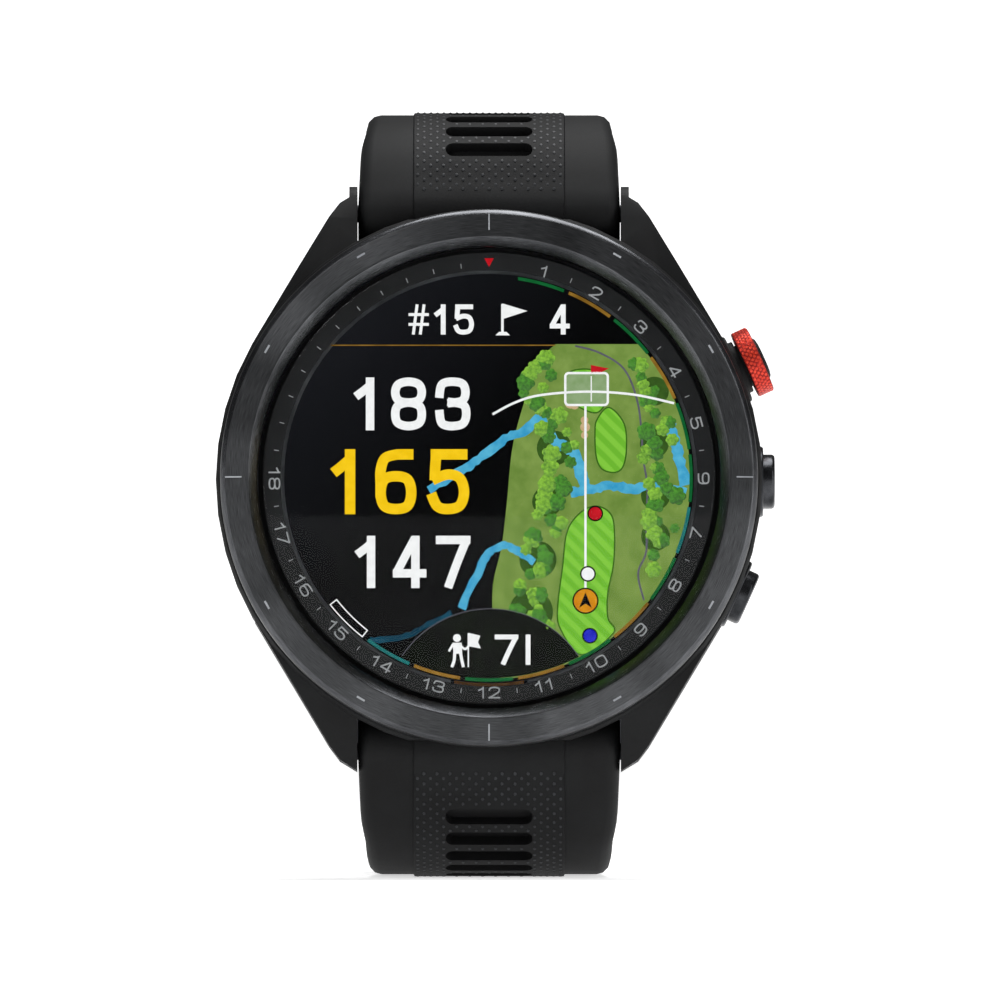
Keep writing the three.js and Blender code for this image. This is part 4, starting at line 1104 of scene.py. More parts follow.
MAP_EDGE = [
    (5.7, 11.55), (4.6, 10.4), (3.55, 8.0), (2.7, 5.5), (1.95, 2.3), (1.5, -2.4), (1.05, -6.0),
    (0.35, -9.0), (0.3, -12.0), (0.5, -15.0), (0.95, -17.2),
]
MAP_RADIUS = 17.3
LEFT_GROVE = [
    (5.2, 10.8), (4.3, 8.0), (4.3, 6.2), (5.4, 4.0), (6.4, 2.2), (5.7, -0.4), (5.2, -3.2), (4.4, -5.8),
    (4.2, -8.2), (3.4, -10.6), (4.4, -13.0), (3.4, -15.6),
]
RIGHT_GROVE = [
    (12.9, 11.0), (13.8, 9.0), (14.6, 6.8), (14.7, 4.2), (14.4, 1.6), (14.9, -0.6), (15.0, -3.0),
    (14.6, -5.2), (14.7, -8.2),
]


def map_outline():
    """The map's round-cornered area, closed along the screen's own circle."""
    left = [(p.x, p.y) for p in smooth_path(MAP_EDGE, 4)]
    start = math.atan2(left[-1][1], left[-1][0])
    end = math.asin(left[0][1] / MAP_RADIUS)
    arc = [start + (end - start) * k / 60 for k in range(61)]
    return left + [(MAP_RADIUS * math.cos(a), MAP_RADIUS * math.sin(a)) for a in arc]


def grove(path, width, spacing, seed, z):
    """Spots for tree crowns scattered along a path, kept on the round screen."""
    chance = random.Random(seed)
    spots = []
    line = smooth_path(path, 8)
    travelled = 0.0
    for i in range(1, len(line)):
        step = (line[i] - line[i - 1]).length
        travelled += step
        while travelled > spacing:
            travelled -= spacing
            x = line[i].x + chance.uniform(-width, width)
            y = line[i].y + chance.uniform(-0.3, 0.3)
            grow = chance.uniform(0.75, 1.45)
            if math.hypot(x, y) + 0.6 * grow < MAP_RADIUS and y < 11.2:
                spots.append(((x, y, z), (0, 0, 1), (0, 1, 0), grow))
    return spots


def crowns(name, spots, kind):
    """Each crown is a low dome with smaller lobes round its rim."""
    lobes = []
    for k, spot in enumerate(spots):
        (x, y, z), facing, along, grow = spot
        lobes.append(spot)
        for j in range(6):
            angle = 2 * math.pi * (j + 0.37 * k) / 6
            reach = 0.36 * grow
            place = (x + reach * math.cos(angle), y + reach * math.sin(angle), z)
            lobes.append((place, facing, along, grow * 0.48))
    return repeated(name, "dome", lobes, (1.0, 1.0, 0.07), material(kind), FACE, 0.12)


def screen_colours():
    names = (
        "screen", "white", "yellow", "gold", "green", "teal", "rough", "shade", "fairway",
        "fairway_edge", "water", "water_dim", "path", "sand", "red_dot", "blue_dot", "orange_dot",
        "ink", "dome_dark", "target",
    )
    return {name: index for index, name in enumerate(names)}, [material(name) for name in names]


def draw_map(shell, slot):
    base = RING_FRONT
    shell.flat(map_outline(), base + LAYER, slot["rough"])
    shades = (
        ((5.6, 2.6), 1.5), ((5.0, -2.0), 1.3), ((4.2, -7.0), 1.6), ((3.6, -11.5), 1.9),
        ((14.2, 7.5), 1.25), ((14.2, 3.0), 1.25), ((14.3, -1.5), 1.25), ((14.3, -5.0), 1.25),
    )
    for centre, radius in shades:
        shell.flat(disc(centre, radius), base + LAYER * 2, slot["shade"])
    ribbon(shell, [(-5.2, -1.0), (-2.4, 0.6), (-0.8, 1.7), (1.4, 3.4), (2.9, 4.0), (4.4, 5.3)],
           0.72, base + LAYER * 3, slot["water"], 0.3, 3)
    ribbon(shell, [(4.4, 5.3), (5.6, 3.2), (7.2, 2.3), (7.8, 0.6), (8.4, -1.0)], 0.95,
           base + LAYER * 3, slot["water"], 0.25, 4)
    ribbon(shell, [(7.0, -1.2), (8.6, -1.0), (10.4, -0.65), (12.5, -0.9), (14.2, -0.6), (16.9, -1.3)],
           0.8, base + LAYER * 3, slot["water"], 0.25, 5)
    ribbon(shell, [(15.6, 4.6), (15.9, 3.4), (16.3, 1.8), (16.9, -0.6)], 0.9, base + LAYER * 3,
           slot["water"], 0.3, 6)
    ribbon(shell, [(3.9, -7.2), (2.9, -6.6), (1.6, -5.8), (0.1, -6.3), (-0.8, -7.8), (-2.4, -11.2)],
           0.7, base + LAYER * 3, slot["water"], 0.3, 7)
    ribbon(shell, [(-3.2, -11.6), (-5.2, -12.6), (-7.4, -13.7), (-10.2, -13.9)], 0.5,
           base + LAYER * 3, slot["water_dim"], 0.4, 8)
    ribbon(shell, [(7.4, 11.4), (9.5, 10.8), (11.6, 9.4), (12.7, 6.8), (13.1, 4.0), (13.2, 1.9),
                   (13.6, -0.7), (13.5, -3.5), (13.5, -6.3), (12.8, -8.2), (13.3, -10.5)],
           0.17, base + LAYER * 4, slot["path"])
    small = [(10.3, 6.1), (11.6, 4.7), (11.8, 2.5), (11.5, 1.0), (10.8, 0.5), (9.7, 0.8), (9.2, 1.9),
             (9.1, 4.0), (9.3, 5.1)]
    large = [(9.1, -2.4), (10.3, -2.9), (10.75, -4.2), (10.7, -7.3), (10.2, -9.9), (10.2, -12.0),
             (10.7, -13.3), (7.9, -15.2), (6.1, -12.9), (5.9, -11.0), (6.3, -7.7), (6.7, -4.6), (7.8, -3.0)]
    green = [(6.7, 8.9), (8.3, 9.4), (10.0, 8.8), (10.2, 7.0), (9.4, 5.7), (8.2, 5.9), (7.0, 6.8)]
    for outline in (small, large, green):
        smooth = [(p.x, p.y) for p in smooth_path(outline, 6, closed=True)]
        shell.flat(smooth, base + LAYER * 4, slot["fairway"])
        frame_line(shell, smooth, 0.13, base + LAYER * 5, slot["fairway_edge"])
    bunkers = (
        ((7.0, 6.5), 0.5), ((7.35, 6.3), 0.38), ((8.2, 5.0), 0.33), ((8.25, 4.4), 0.42),
        ((8.2, 3.7), 0.3),
    )
    for centre, radius in bunkers:
        shell.flat(disc(centre, radius), base + LAYER * 5, slot["sand"])


def draw_marks(shell, slot):
    """The target, aim line, player and dots that lie over the map."""
    base = RING_FRONT + LAYER * 9
    box = rounded_box(6.55, 6.3, 10.2, 9.05, 0.3)
    shell.flat(box, base - LAYER, slot["target"])
    frame_line(shell, box, 0.2, base, slot["white"])
    ribbon(shell, [(8.78, 6.6), (8.78, 8.8)], 0.1, base, slot["white"])
    ribbon(shell, [(0.3, 5.5), (2.2, 6.5), (4.4, 7.15), (8.4, 7.45), (12.4, 7.2), (15.9, 6.45)], 0.2,
           base + LAYER * 0.5, slot["white"])
    shell.flat([(8.75, 9.05), (8.75, 9.75), (9.5, 9.6), (10.3, 9.45), (9.6, 9.1)], base, slot["red_dot"])
    ribbon(shell, [(8.28, 6.3), (8.28, -9.5)], 0.2, base, slot["white"])
    dots = (
        ((9.12, -3.04), "red_dot", 0.55), ((8.49, -8.23), "white", 0.55), ((8.66, -13.55), "blue_dot", 0.55),
        ((8.28, -10.55), "orange_dot", 1.0),
    )
    for centre, colour, radius in dots:
        shell.flat(disc(centre, radius + 0.13), base + LAYER, slot["ink"])
        shell.flat(disc(centre, radius), base + LAYER * 1.6, slot[colour])
    arrow = [(0, 0.72), (0.55, -0.6), (0, -0.25), (-0.55, -0.6)]
    shell.flat([(8.28 + x, -10.55 + y) for x, y in arrow], base + LAYER * 2.4, slot["ink"])


def draw_club(shell, slot):
    """The low dome at the foot of the screen with the player, flag and club."""
    base = RING_FRONT + LAYER * 9
    centre_x, centre_y = 0.1, -20.33
    edge = MAP_RADIUS - 0.1
    rim = [(x, y) for x, y in disc((centre_x, centre_y), 9.1, 96) if math.hypot(x, y) < edge]
    rim.sort(key=lambda p: -math.atan2(p[1] - centre_y, p[0] - centre_x))
    first, last = [math.atan2(p[1], p[0]) for p in (rim[0], rim[-1])]
    foot = [last + (first - last) * k / 24 for k in range(25)]
    floor = [(edge * math.cos(a), edge * math.sin(a)) for a in foot]
    shell.flat(rim + floor, base + LAYER * 0.3, slot["dome_dark"])
    ribbon(shell, rim, 0.07, base + LAYER, slot["path"])
    lift = base + LAYER * 2
    white = slot["white"]
    characters(shell, "7I", (2.1, -14.75), 2.6, lift, white)
    head = disc((-2.75, -13.75), 0.34, 20)
    chest = [(-3.15, -14.15), (-2.35, -14.15), (-2.3, -15.1), (-3.05, -15.1)]
    limbs_and_pole = (
        ([(-2.95, -15.0), (-3.0, -15.7), (-3.2, -16.25)], 0.26),
        ([(-2.45, -15.0), (-2.35, -15.6), (-2.2, -16.25)], 0.26),
        ([(-2.5, -14.35), (-2.05, -14.7), (-1.7, -14.35)], 0.2),
        ([(-3.1, -14.3), (-3.45, -14.9)], 0.2),
        ([(-1.78, -16.25), (-1.78, -13.35)], 0.12),
    )
    flag = [(-1.78, -13.3), (-0.75, -13.55), (-0.95, -14.1), (-0.7, -14.65), (-1.78, -14.45)]
    shell.flat(head, lift, white)
    shell.flat(chest, lift, white)
    for points, width in limbs_and_pole:
        ribbon(shell, points, width, lift, white)
    shell.flat(flag, lift, white)


def draw_readings(shell, slot):
    base = RING_FRONT + LAYER * 6
    ribbon(shell, [(-13.6, 11.45), (-6.0, 11.45), (5.7, 11.45)], 0.09, base, slot["gold"])
    characters(shell, "183", (-6.6, 6.4), 4.55, base, slot["white"], wide=0.5)
    characters(shell, "165", (-7.63, -0.3), 5.6, base + LAYER, slot["yellow"], wide=0.47)
    characters(shell, "147", (-6.55, -7.2), 4.5, base, slot["white"], wide=0.5)
    characters(shell, "#15", (-4.15, 13.67), 2.6, base, slot["white"], wide=0.5, gap=0.3)
    characters(shell, "4", (6.05, 13.67), 2.6, base, slot["white"], wide=0.52)
    ribbon(shell, [(1.15, 12.4), (1.15, 15.0)], 0.22, base, slot["white"])
    shell.flat([(1.15, 15.05), (3.3, 14.4), (1.15, 13.7)], base, slot["white"])
    shell.flat([(0.55, 12.3), (1.8, 12.3), (1.5, 12.6), (0.85, 12.6)], base, slot["white"])


def draw_arcs(shell, slot):
    """Par colours round the screen's edge, one arc inside each hole's number."""
    colours = (
        "green", "gold", "green", "gold", "green", "green", "teal", "green", "gold", "green",
        "gold", "green", "gold", "teal",
    )
    z = RING_FRONT + LAYER * 12.5
    for number, colour in enumerate(colours, 1):
        sweep = [15 * number - 6.75 + 13.5 * k / 12 for k in range(13)]
        inner = [ring_place(17.22, clock, z) for clock in sweep]
        outer = [ring_place(17.5, clock, z) for clock in sweep]
        shell.rows([inner, outer], slot[colour])
    sweep = [225 - 6.4 + 12.8 * k / 12 for k in range(13)]
    outline = [ring_place(16.75, clock)[:2] for clock in sweep]
    outline += [ring_place(17.45, clock)[:2] for clock in sweep[::-1]]
    frame_line(shell, outline, 0.1, z, slot["white"])


def build_screen():
    slot, materials = screen_colours()
    panel = Shell()
    back = RING_FRONT - 0.9
    profile = [
        (0, RING_FRONT), (17.55, RING_FRONT), (17.6, RING_FRONT - 0.03), (17.6, back), (0, back),
    ]
    panel.lathe(profile, 192, slot["screen"])
    draw_map(panel, slot)
    draw_marks(panel, slot)
    draw_club(panel, slot)
    draw_readings(panel, slot)
    draw_arcs(panel, slot)
    sheet = panel.build("screen_sheet", FACE, materials)
    level = RING_FRONT + LAYER * 5.5
    left = grove(LEFT_GROVE, 1.25, 0.44, 11, level)
    right = grove(RIGHT_GROVE, 1.2, 0.46, 12, level)
    both = left + right
    bright = crowns("bright_crowns", both[::2], "crown")
    deep = crowns("deep_crowns", both[1::2], "deep_crown")
    screen = joined("display", sheet, bright, deep)
    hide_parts("display_panel")
    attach(screen, "head")


# ------------------------------------------------------------------ buttons


def build_buttons():
    for place, angle in BUTTON_ANGLES.items():
        build_guard(place, button_matrix(angle))
        build_cap(place, button_matrix(angle))
    build_collar(button_matrix(BUTTON_ANGLES["upper"]))


def build_guard(place, matrix):
    shell = Shell()
    profile = [
        (1.5, 19.3), (2.1, 19.3), (2.1, 20.9), (2.8, 20.9), (2.8, 22.95), (3.02, 22.95), (3.05, 23.0),
        (3.05, 23.4), (3.0, 23.52), (2.9, 23.59), (2.7, 23.6), (2.6, 23.57), (2.55, 23.48),
        (2.55, 21.4), (1.5, 21.4),
    ]
    shell.lathe(profile, 64, 0, loop=True)
    guard = shell.build(f"guard_{place}", matrix, [material("housing" if place == "upper" else "steel")])
    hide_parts(f"button_guard_{place}")
    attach(guard, "head")


def build_cap(place, matrix):
    stem = [
        (0, 18.0), (0.9, 18.0), (1.0, 18.1), (1.0, 18.8), (0.65, 18.85), (0.65, 19.2), (1.0, 19.25),
        (1.0, 20.2), (0.65, 20.25), (0.65, 20.75), (1.0, 20.8), (1.0, 22.9), (2.25, 22.9), (2.35, 23.0),
    ]
    if place == "upper":
        head = [
            (2.35, 23.9), (2.3, 24.0), (1.9, 24.0), (1.9, 25.62), (1.84, 25.78), (1.66, 25.9), (1.3, 25.97),
            (1.1, 25.96), (1.0, 25.9), (0.85, 25.9), (0.75, 25.98), (0, 26.0),
        ]
    else:
        head = [
            (2.35, 24.3), (2.31, 24.44), (2.2, 24.55), (2.06, 24.59), (1.95, 24.57), (1.85, 24.5),
            (1.72, 24.5), (1.62, 24.57), (1.5, 24.6), (0, 24.6),
        ]
    shell = Shell()
    shell.lathe(stem + head, 64)
    finish = material("housing") if place == "upper" else material("button")
    cap = shell.build(f"cap_{place}", matrix, [finish])
    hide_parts(f"button_cap_{place}")
    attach(cap, f"{place}_button")


def build_collar(matrix):
    """The red collar, covered in staggered rows of small raised beads."""
    shell = Shell()
    profile = [
        (2.2, 24.2), (2.86, 24.2), (2.93, 24.23), (2.95, 24.3), (2.95, 25.5), (2.9, 25.6), (2.8, 25.66),
        (2.35, 25.66), (2.24, 25.62), (2.2, 25.54),
    ]
    shell.lathe(profile, 96, 0, loop=True)
    base = shell.build("collar_base", matrix, [material("red")])
    spots = []
    around = 44
    for row in range(5):
        for k in range(around):
            angle = 2 * math.pi * (k + row / 2) / around
            out = Vector((math.cos(angle), math.sin(angle), 0))
            spots.append((out * 2.945 + Vector((0, 0, 24.4 + 0.26 * row)), out, (0, 0, 1)))
    beads = repeated("collar_beads", "bead", spots, (0.3, 0.3, 0.07), material("red_bead"), matrix)
    collar = joined("red_collar", base, beads)
    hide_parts("button_collar_upper")
    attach(collar, "upper_button")


# ------------------------------------------------------------------ back


def build_back():
    cover = softened("back_cover", "back_plate", 0.2, [material("housing")], 2)
    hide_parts("back_cover")
    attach(cover, "head")
    window = Shell()
    radius, front, rim, crown = 8.0, -12.1, -12.7, -13.9
    edge = [(0, front), (7.9, front), (radius, front - 0.1), (radius, rim + 0.05)]
    dome = []
    for degrees in range(84, 0, -7):
        angle = math.radians(degrees)
        dome.append((radius * math.sin(angle), rim + (crown - rim) * math.cos(angle) ** 0.7))
    window.lathe(edge + dome + [(0, crown)], 96)
    glass = window.build("sensor_glass", FACE, [material("sensor_glass")])
    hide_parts("sensor_window")
    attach(glass, "head")
    port = softened("charge_port", "charge_socket", 0.1, [material("housing")], 2)
    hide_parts("charge_port")
    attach(port, "head")
    for k in range(1, 5):
        screw = softened(f"back_screw_{k}", f"screw_{k}", 0.05, [material("steel")], 2)
        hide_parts(f"back_screw_{k}")
        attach(screw, "head")


# ------------------------------------------------------------------ straps


def half_width(s, line):
    share = min(max(s / TAPER_END, 0), 1)
    half = (STRAP_WIDTH + (END_WIDTH - STRAP_WIDTH) * share) / 2
    half += ROOT_FLARE * min(max((ROOT_FLARE_END - s) / 3, 0), 1)
    if line is LONG:
        into = max(s - (line.length - TIP_LENGTH), 0) / TIP_LENGTH
        half *= math.sqrt(max(1 - into * into, 0.004))
    return half


def half_thickness(s):
    share = min(max(s / ROOT_LENGTH, 0), 1)
    strip = (ROOT_THICKNESS + (STRAP_THICKNESS - ROOT_THICKNESS) * share) / 2
    if s > BARREL_RADIUS:
        return strip
    barrel = math.sqrt(max(BARREL_RADIUS**2 - s * s, 0.002))
    return barrel if s < 0 else max(strip, barrel)


def band_half(s, line):
    return min(size("band_width") / 2, half_width(s, line) * 0.62)


WING_DROP = 0.18
CORNER_RADIUS = 1.15


def wing_rows(line, side, stations):
    """The smooth outer part of the strap on one side, as closed rows round its section."""
    rows = []
    for s in stations:
        half, thick, inner = half_width(s, line), half_thickness(s), band_half(s, line)
        drop = WING_DROP if s < line.length - 1 else 0.0
        top, low = max(thick - drop, thick * 0.5), -thick
        radius = min(CORNER_RADIUS, (top - low) * 0.42, (half - inner) * 0.6)
        section = [(inner, thick), (inner + 0.1, top), (half - radius, top)]
        for k in range(1, 7):
            angle = math.radians(90 - 30 * k)
            centre = top - radius if k <= 3 else low + radius
            section.append((half - radius + radius * math.cos(angle), centre + radius * math.sin(angle)))
        section.append((inner, low))
        rows.append([line.place(s, side * x, n) for x, n in section])
    return rows


CELL_POINTS = 32


def cell(shell, line, start, end, hole, level, floor):
    """A stretch of the band between two stations, with an outline cut in it down to a floor.

    The hole is its station, its sizes across and along the strap and its corners' radius.
    """
    mid, across, along, round_end = hole
    inner, outer = [], []
    for k in range(CELL_POINTS):
        angle = 2 * math.pi * k / CELL_POINTS
        c, n = math.cos(angle), math.sin(angle)
        rx, ry = across / 2 - round_end, along / 2 - round_end
        inner.append((mid + ry * sign(n) + round_end * n, rx * sign(c) + round_end * c))
        reach = max(abs(c), abs(n))
        s = start if n < 0 else end
        share = abs(n) / reach
        s = mid + (s - mid) * share
        outer.append((s, c / reach * band_half(s, line)))

    def lay(pairs, n_of):
        return [line.place(s, x, n_of(s)) for s, x in pairs]

    face = [lay(outer, level), lay(inner, level)]
    shell.rows(face, 0, around=True)
    wall = [face[1], lay(inner, floor)]
    shell.rows(wall, 1, around=True)
    return wall[1]


def sign(value):
    return 1 if value >= 0 else -1


def top_level(s):
    return half_thickness(s)


def low_level(s):
    return -half_thickness(s)


BAND_STEP = 1.2


def plain_band(shell, line, start, end, level):
    count = max(2, math.ceil((end - start) / BAND_STEP))
    rows = []
    for k in range(count + 1):
        s = start + (end - start) * k / count
        half = band_half(s, line)
        rows.append([line.place(s, half * x, level(s)) for x in (-1, -0.5, 0, 0.5, 1)])
    shell.rows(rows, 0)


def strap_stations(line, root):
    stations = [root * math.sin(math.radians(a)) for a in (90, 75, 60, 45, 30, 15)]
    step = 1.3
    body = line.length - (TIP_LENGTH if line is LONG else 0)
    count = math.ceil(body / step)
    stations += [body * k / count for k in range(count + 1)]
    if line is LONG:
        stations += [body + TIP_LENGTH * math.sin(math.radians(10 * k)) * 0.998 for k in range(1, 10)]
    else:
        stations.append(line.length)
    return stations


FIRST_SLOT = 4.9


def slot_places(line):
    last = 52.0 if line is SHORT else 40.0
    pitch = size("slot_pitch")
    return [FIRST_SLOT + pitch * k for k in range(int((last - FIRST_SLOT) / pitch))]


def hole_places():
    return [LONG.length - HOLES["from_tip"] - HOLES["pitch"] * k for k in range(HOLES["count"])]


HOLE_PATCH_HALF = 2.2
POCKET = (3.1, 12.7, 5.6, 0.5)
POCKET_START, POCKET_END = -0.4, 6.6


def holed_band(shell, line, start, end, holes, level):
    """The plain rest of the band on one side, with the round holes cut through it."""
    radius = HOLES["radius"]
    for s in holes:
        near, far = s - HOLE_PATCH_HALF, s + HOLE_PATCH_HALF
        if near > start:
            plain_band(shell, line, start, near, level)
        shape = (s, radius * 2, radius * 2, radius - 0.01)
        cell(shell, line, near, far, shape, level, low_level)
        start = far
    plain_band(shell, line, start, end, level)


def build_strap(line, name, body, node):
    shell = Shell()
    stations = strap_stations(line, -BARREL_RADIUS)
    for side in (-1, 1):
        rows = wing_rows(line, side, stations)
        shell.rows(rows, 0)
        for row in (rows[0], rows[-1]):
            shell.add(row, [list(range(len(row)))], 0)
    pitch = size("slot_pitch")
    slots = slot_places(line)
    holes = sorted(hole_places()) if line is LONG else []
    reached = stations[0]
    for s in slots:
        start, end = s - pitch / 2, s + pitch / 2
        if start > reached + 1e-6:
            plain_band(shell, line, reached, start, top_level)
        shape = (s, size("slot_width"), size("slot_length"), size("slot_length") / 2 - 0.02)
        floor = cell(shell, line, start, end, shape, top_level, slot_floor)
        shell.add(floor, [list(range(len(floor)))], 1)
        reached = end
    band_end = line.length - (NOTCH_LENGTH if line is SHORT else BAND_GAP)
    holed_band(shell, line, reached, band_end, holes, top_level)
    plain_band(shell, line, stations[0], POCKET_START, low_level)
    floor = cell(shell, line, POCKET_START, POCKET_END, POCKET, low_level, pocket_floor)
    shell.add(floor, [list(range(len(floor)))], 1)
    holed_band(shell, line, POCKET_END, band_end, holes, low_level)
    if line is SHORT:
        tongue_notch(shell, line)
        end_knuckles(shell, line)
    # The second material darkens the slots, holes and pocket as painted shade.
    strap = shell.build(name, ROW, [material("silicone"), material("shaded_silicone")], 38)
    dots = strap_dots(line, f"{name}_dots", slots, holes)
    whole = joined(name, strap, dots)
    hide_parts(node)
    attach(whole, body)


SLOT_DEPTH = 0.95
POCKET_LEVEL = 0.6


def slot_floor(s):
    return half_thickness(s) - SLOT_DEPTH


def pocket_floor(s):
    """The same level all along, so that the pocket's floor is flat."""
    return POCKET_LEVEL


BAND_GAP = 0.02
NOTCH_LENGTH = 3.05
NOTCH_HALF = 1.5


def tongue_notch(shell, line):
    """The band's last stretch, open in the middle so that the tongue can swing."""
    start, end = line.length - NOTCH_LENGTH, line.length - BAND_GAP
    for side in (-1, 1):
        rows = []
        for s in (start, (start + end) / 2, end):
            inner, thick = band_half(s, line), half_thickness(s)
            section = [(inner, thick), (NOTCH_HALF, thick), (NOTCH_HALF, -thick), (inner, -thick)]
            rows.append([line.place(s, side * x, n) for x, n in section])
        shell.rows(rows, 0)
        shell.add(rows[-1], [[0, 1, 2, 3]], 0)
    thick = half_thickness(start)
    wall = [[line.place(start, x, n) for x in (-NOTCH_HALF, NOTCH_HALF)] for n in (thick, -thick)]
    shell.rows(wall, 0)


KNUCKLE_POINTS = 24


def end_knuckles(shell, line):
    """Round ends about the buckle's bar, either side of the tongue."""
    half, notch = END_WIDTH / 2, NOTCH_HALF
    bore, full = 0.5, 1.9
    profile = (
        (notch, bore), (notch, full - 0.15), (notch + 0.15, full), (half - 0.2, full),
        (half, full - 0.2), (half, bore),
    )
    turns = [2 * math.pi * k / KNUCKLE_POINTS for k in range(KNUCKLE_POINTS)]
    for side in (-1, 1):
        rows = []
        for x, radius in profile:
            ends = [(line.length + radius * math.cos(a), radius * math.sin(a)) for a in turns]
            rows.append([line.place(s, side * x, n) for s, n in ends])
        shell.rows(rows, 0, around=True, loop=True)


def strap_dots(line, name, slots, holes):
    """Staggered rows of small dots over the band, clear of its slots and holes."""
    pitch = size("dot_pitch")
    row_step, first, clear = 0.42, 1.2, 0.12
    half_slot = (size("slot_width") / 2 + clear, size("slot_length") / 2 + clear)
    spots = []
    end = line.length - (TIP_LENGTH if line is LONG else 7.0)
    for row in range(int((end - first) / row_step)):
        s = first + row_step * row
        facing, along = line.outward(s), line.along(s)
        edge = band_half(s, line) - 0.2
        count = int(edge / pitch)
        for column in range(-count, count + 1):
            if (column + row) % 2:
                continue
            x = column * pitch
            in_slot = any(abs(s - at) < half_slot[1] for at in slots) and abs(x) < half_slot[0]
            in_hole = any(math.hypot(s - at, x) < HOLES["radius"] + 0.35 for at in holes)
            if not (in_slot or in_hole):
                spots.append((line.place(s, x, half_thickness(s)), facing, along))
    size_of = size("dot_size")
    # The dots' lighter silicone is a painted highlight.
    return repeated(name, "bead", spots, (size_of, size_of * 1.25, 0.16), material("highlit_silicone_dot"), ROW)


def build_straps():
    build_strap(SHORT, "strap_short_body", "short_strap", "strap_short")
    build_strap(LONG, "strap_long_body", "long_strap", "strap_long")


# ------------------------------------------------------------------ buckle, keepers and clips


def build_keeper(s, name, node, body):
    """A rounded silicone loop with two shallow grooves round it."""
    inner = END_WIDTH / 2 + 0.4
    low, high = -STRAP_THICKNESS / 2 - 0.4, STRAP_THICKNESS * 1.5 + 0.8
    half = KEEPER_LENGTH / 2
    wall = 1.2
    section = [
        (-half, 0.0), (-half, 0.85), (-half + 0.12, 1.08), (-half + 0.4, wall), (-1.5, wall), (-1.35, 1.05),
        (-1.05, 1.05), (-0.9, wall), (0.9, wall), (1.05, 1.05), (1.35, 1.05), (1.5, wall),
        (half - 0.4, wall), (half - 0.12, 1.08), (half, 0.85), (half, 0.0),
    ]
    matrix = SHORT.matrix(s)
    rows = []
    for along, out in section:
        loop = rounded_box(-inner - out, low - out, inner + out, high + out, 0.5 + out, 6)
        rows.append([(x, along, n) for x, n in loop])
    shell = Shell()
    shell.rows(rows, 0, around=True, loop=True)
    keeper = shell.build(name, matrix, [material("silicone")])
    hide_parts(node)
    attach(keeper, body)


def build_keepers():
    fixed = SHORT.length - 6.5
    build_keeper(fixed, "fixed_keeper_loop", "keeper_fixed", "short_strap")
    build_keeper(fixed - KEEPER_LENGTH - 0.3, "free_keeper_loop", "keeper_free", "free_keeper")


METAL_PIECES = (
    ("buckle_frame", "buckle_hoop", "buckle", 0.4),
    ("buckle_tongue", "buckle_prong", "tongue", 0.22),
    ("claw_upper", "hook_upper", "short_strap", 0.15),
    ("claw_lower", "hook_lower", "long_strap", 0.15),
    ("latch_slider_upper", "slider_upper", "upper_latch", 0.12),
    ("latch_slider_lower", "slider_lower", "lower_latch", 0.12),
)


def build_metalwork():
    for node, name, body, width in METAL_PIECES:
        made = softened(node, name, width, [material("steel")])
        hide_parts(node)
        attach(made, body)


# The finish of the pieces that stay as the frame has them, by how their names start.
FRAME_FINISHES = {
    "button_spring": "bright_steel", "button_clip": "bright_steel", "button_switch": "bright_steel",
    "button_o_ring": "seal", "charge_contact": "gold_pin", "gps_antenna": "gold_pin",
    "processor_shield": "bright_steel", "vibration_motor": "bright_steel", "battery": "foil",
    "display_tray": "magnesium", "display_flex": "film", "main_board": "board",
    "sensor_board": "board", "optical_sensor": "sensor", "lens_gasket": "seal",
    "back_cover_seal": "seal",
}


def finish_frame_nodes():
    """Gives the frame's pieces their finishes; pins, bars and all others are dark steel."""
    for name, node in NODES.items():
        finish = next((f for start, f in FRAME_FINISHES.items() if name.startswith(start)), "steel")
        node.data.materials.clear()
        node.data.materials.append(material(finish))


# ------------------------------------------------------------------ stage


def sweep_material():
    """Matte white paper with a barely visible tooth, glowing by itself more brightly further out: painted
    light that keeps the backdrop white.
    """
    paper, tree, shader = blank("white_paper_sweep")
    tone_of = between(tree, grains(tree, 60.0), 0xF4F4F4, 0xFAFAFA)
    tree.links.new(tone_of, shader.inputs["Base Color"])
    tree.links.new(spread(tree, grains(tree, 1.5), 0.75, 0.9), shader.inputs["Roughness"])
    tree.links.new(tone_of, shader.inputs["Emission Color"])
    where = add(tree, "ShaderNodeTexCoord").outputs["Object"]
    away = add(tree, "ShaderNodeVectorMath", {0: where}, operation="LENGTH").outputs["Value"]
    # Painted light: the paper's own glow is dimmer near the watch and brighter further out.
    far_glow = add(
        tree,
        "ShaderNodeMapRange",
        {"Value": away, "From Min": 0.2, "From Max": 1.2, "To Min": 0.64, "To Max": 1.08},
    )
    tree.links.new(far_glow.outputs[0], shader.inputs["Emission Strength"])
    return paper


def soft_light(name, place, aim, width, height, watts):
    data = bpy.data.lights.new(name, "AREA")
    data.shape = "RECTANGLE"
    data.size = width
    data.size_y = height
    data.energy = watts
    lamp = bpy.data.objects.new(name, data)
    bpy.context.scene.collection.objects.link(lamp)
    lamp.location = place
    lamp.rotation_euler = (Vector(aim) - Vector(place)).to_track_quat("-Z", "Y").to_euler()


SWEEP_RADIUS = 5000
SWEEP_CURVE = 400
SKY_COLOUR = (0.84, 0.84, 0.85, 1)
SKY_STRENGTH = 0.16
LAMP_AIM = (0, -0.04, 0.035)
# name, place, width, height and watts
LAMPS = (
    ("key", (-0.28, -0.42, 0.42), 0.22, 0.3, 0.75),
    ("top", (0.05, 0.02, 0.5), 0.35, 0.3, 2.4),
    ("side", (0.42, -0.3, 0.18), 0.08, 0.4, 0.5),
)
CAMERA_LENS = 800
CAMERA_SENSOR = 36
VIEW_WIDTH = 0.0858
VIEW_X, VIEW_Z = 0.00039, 0.0326


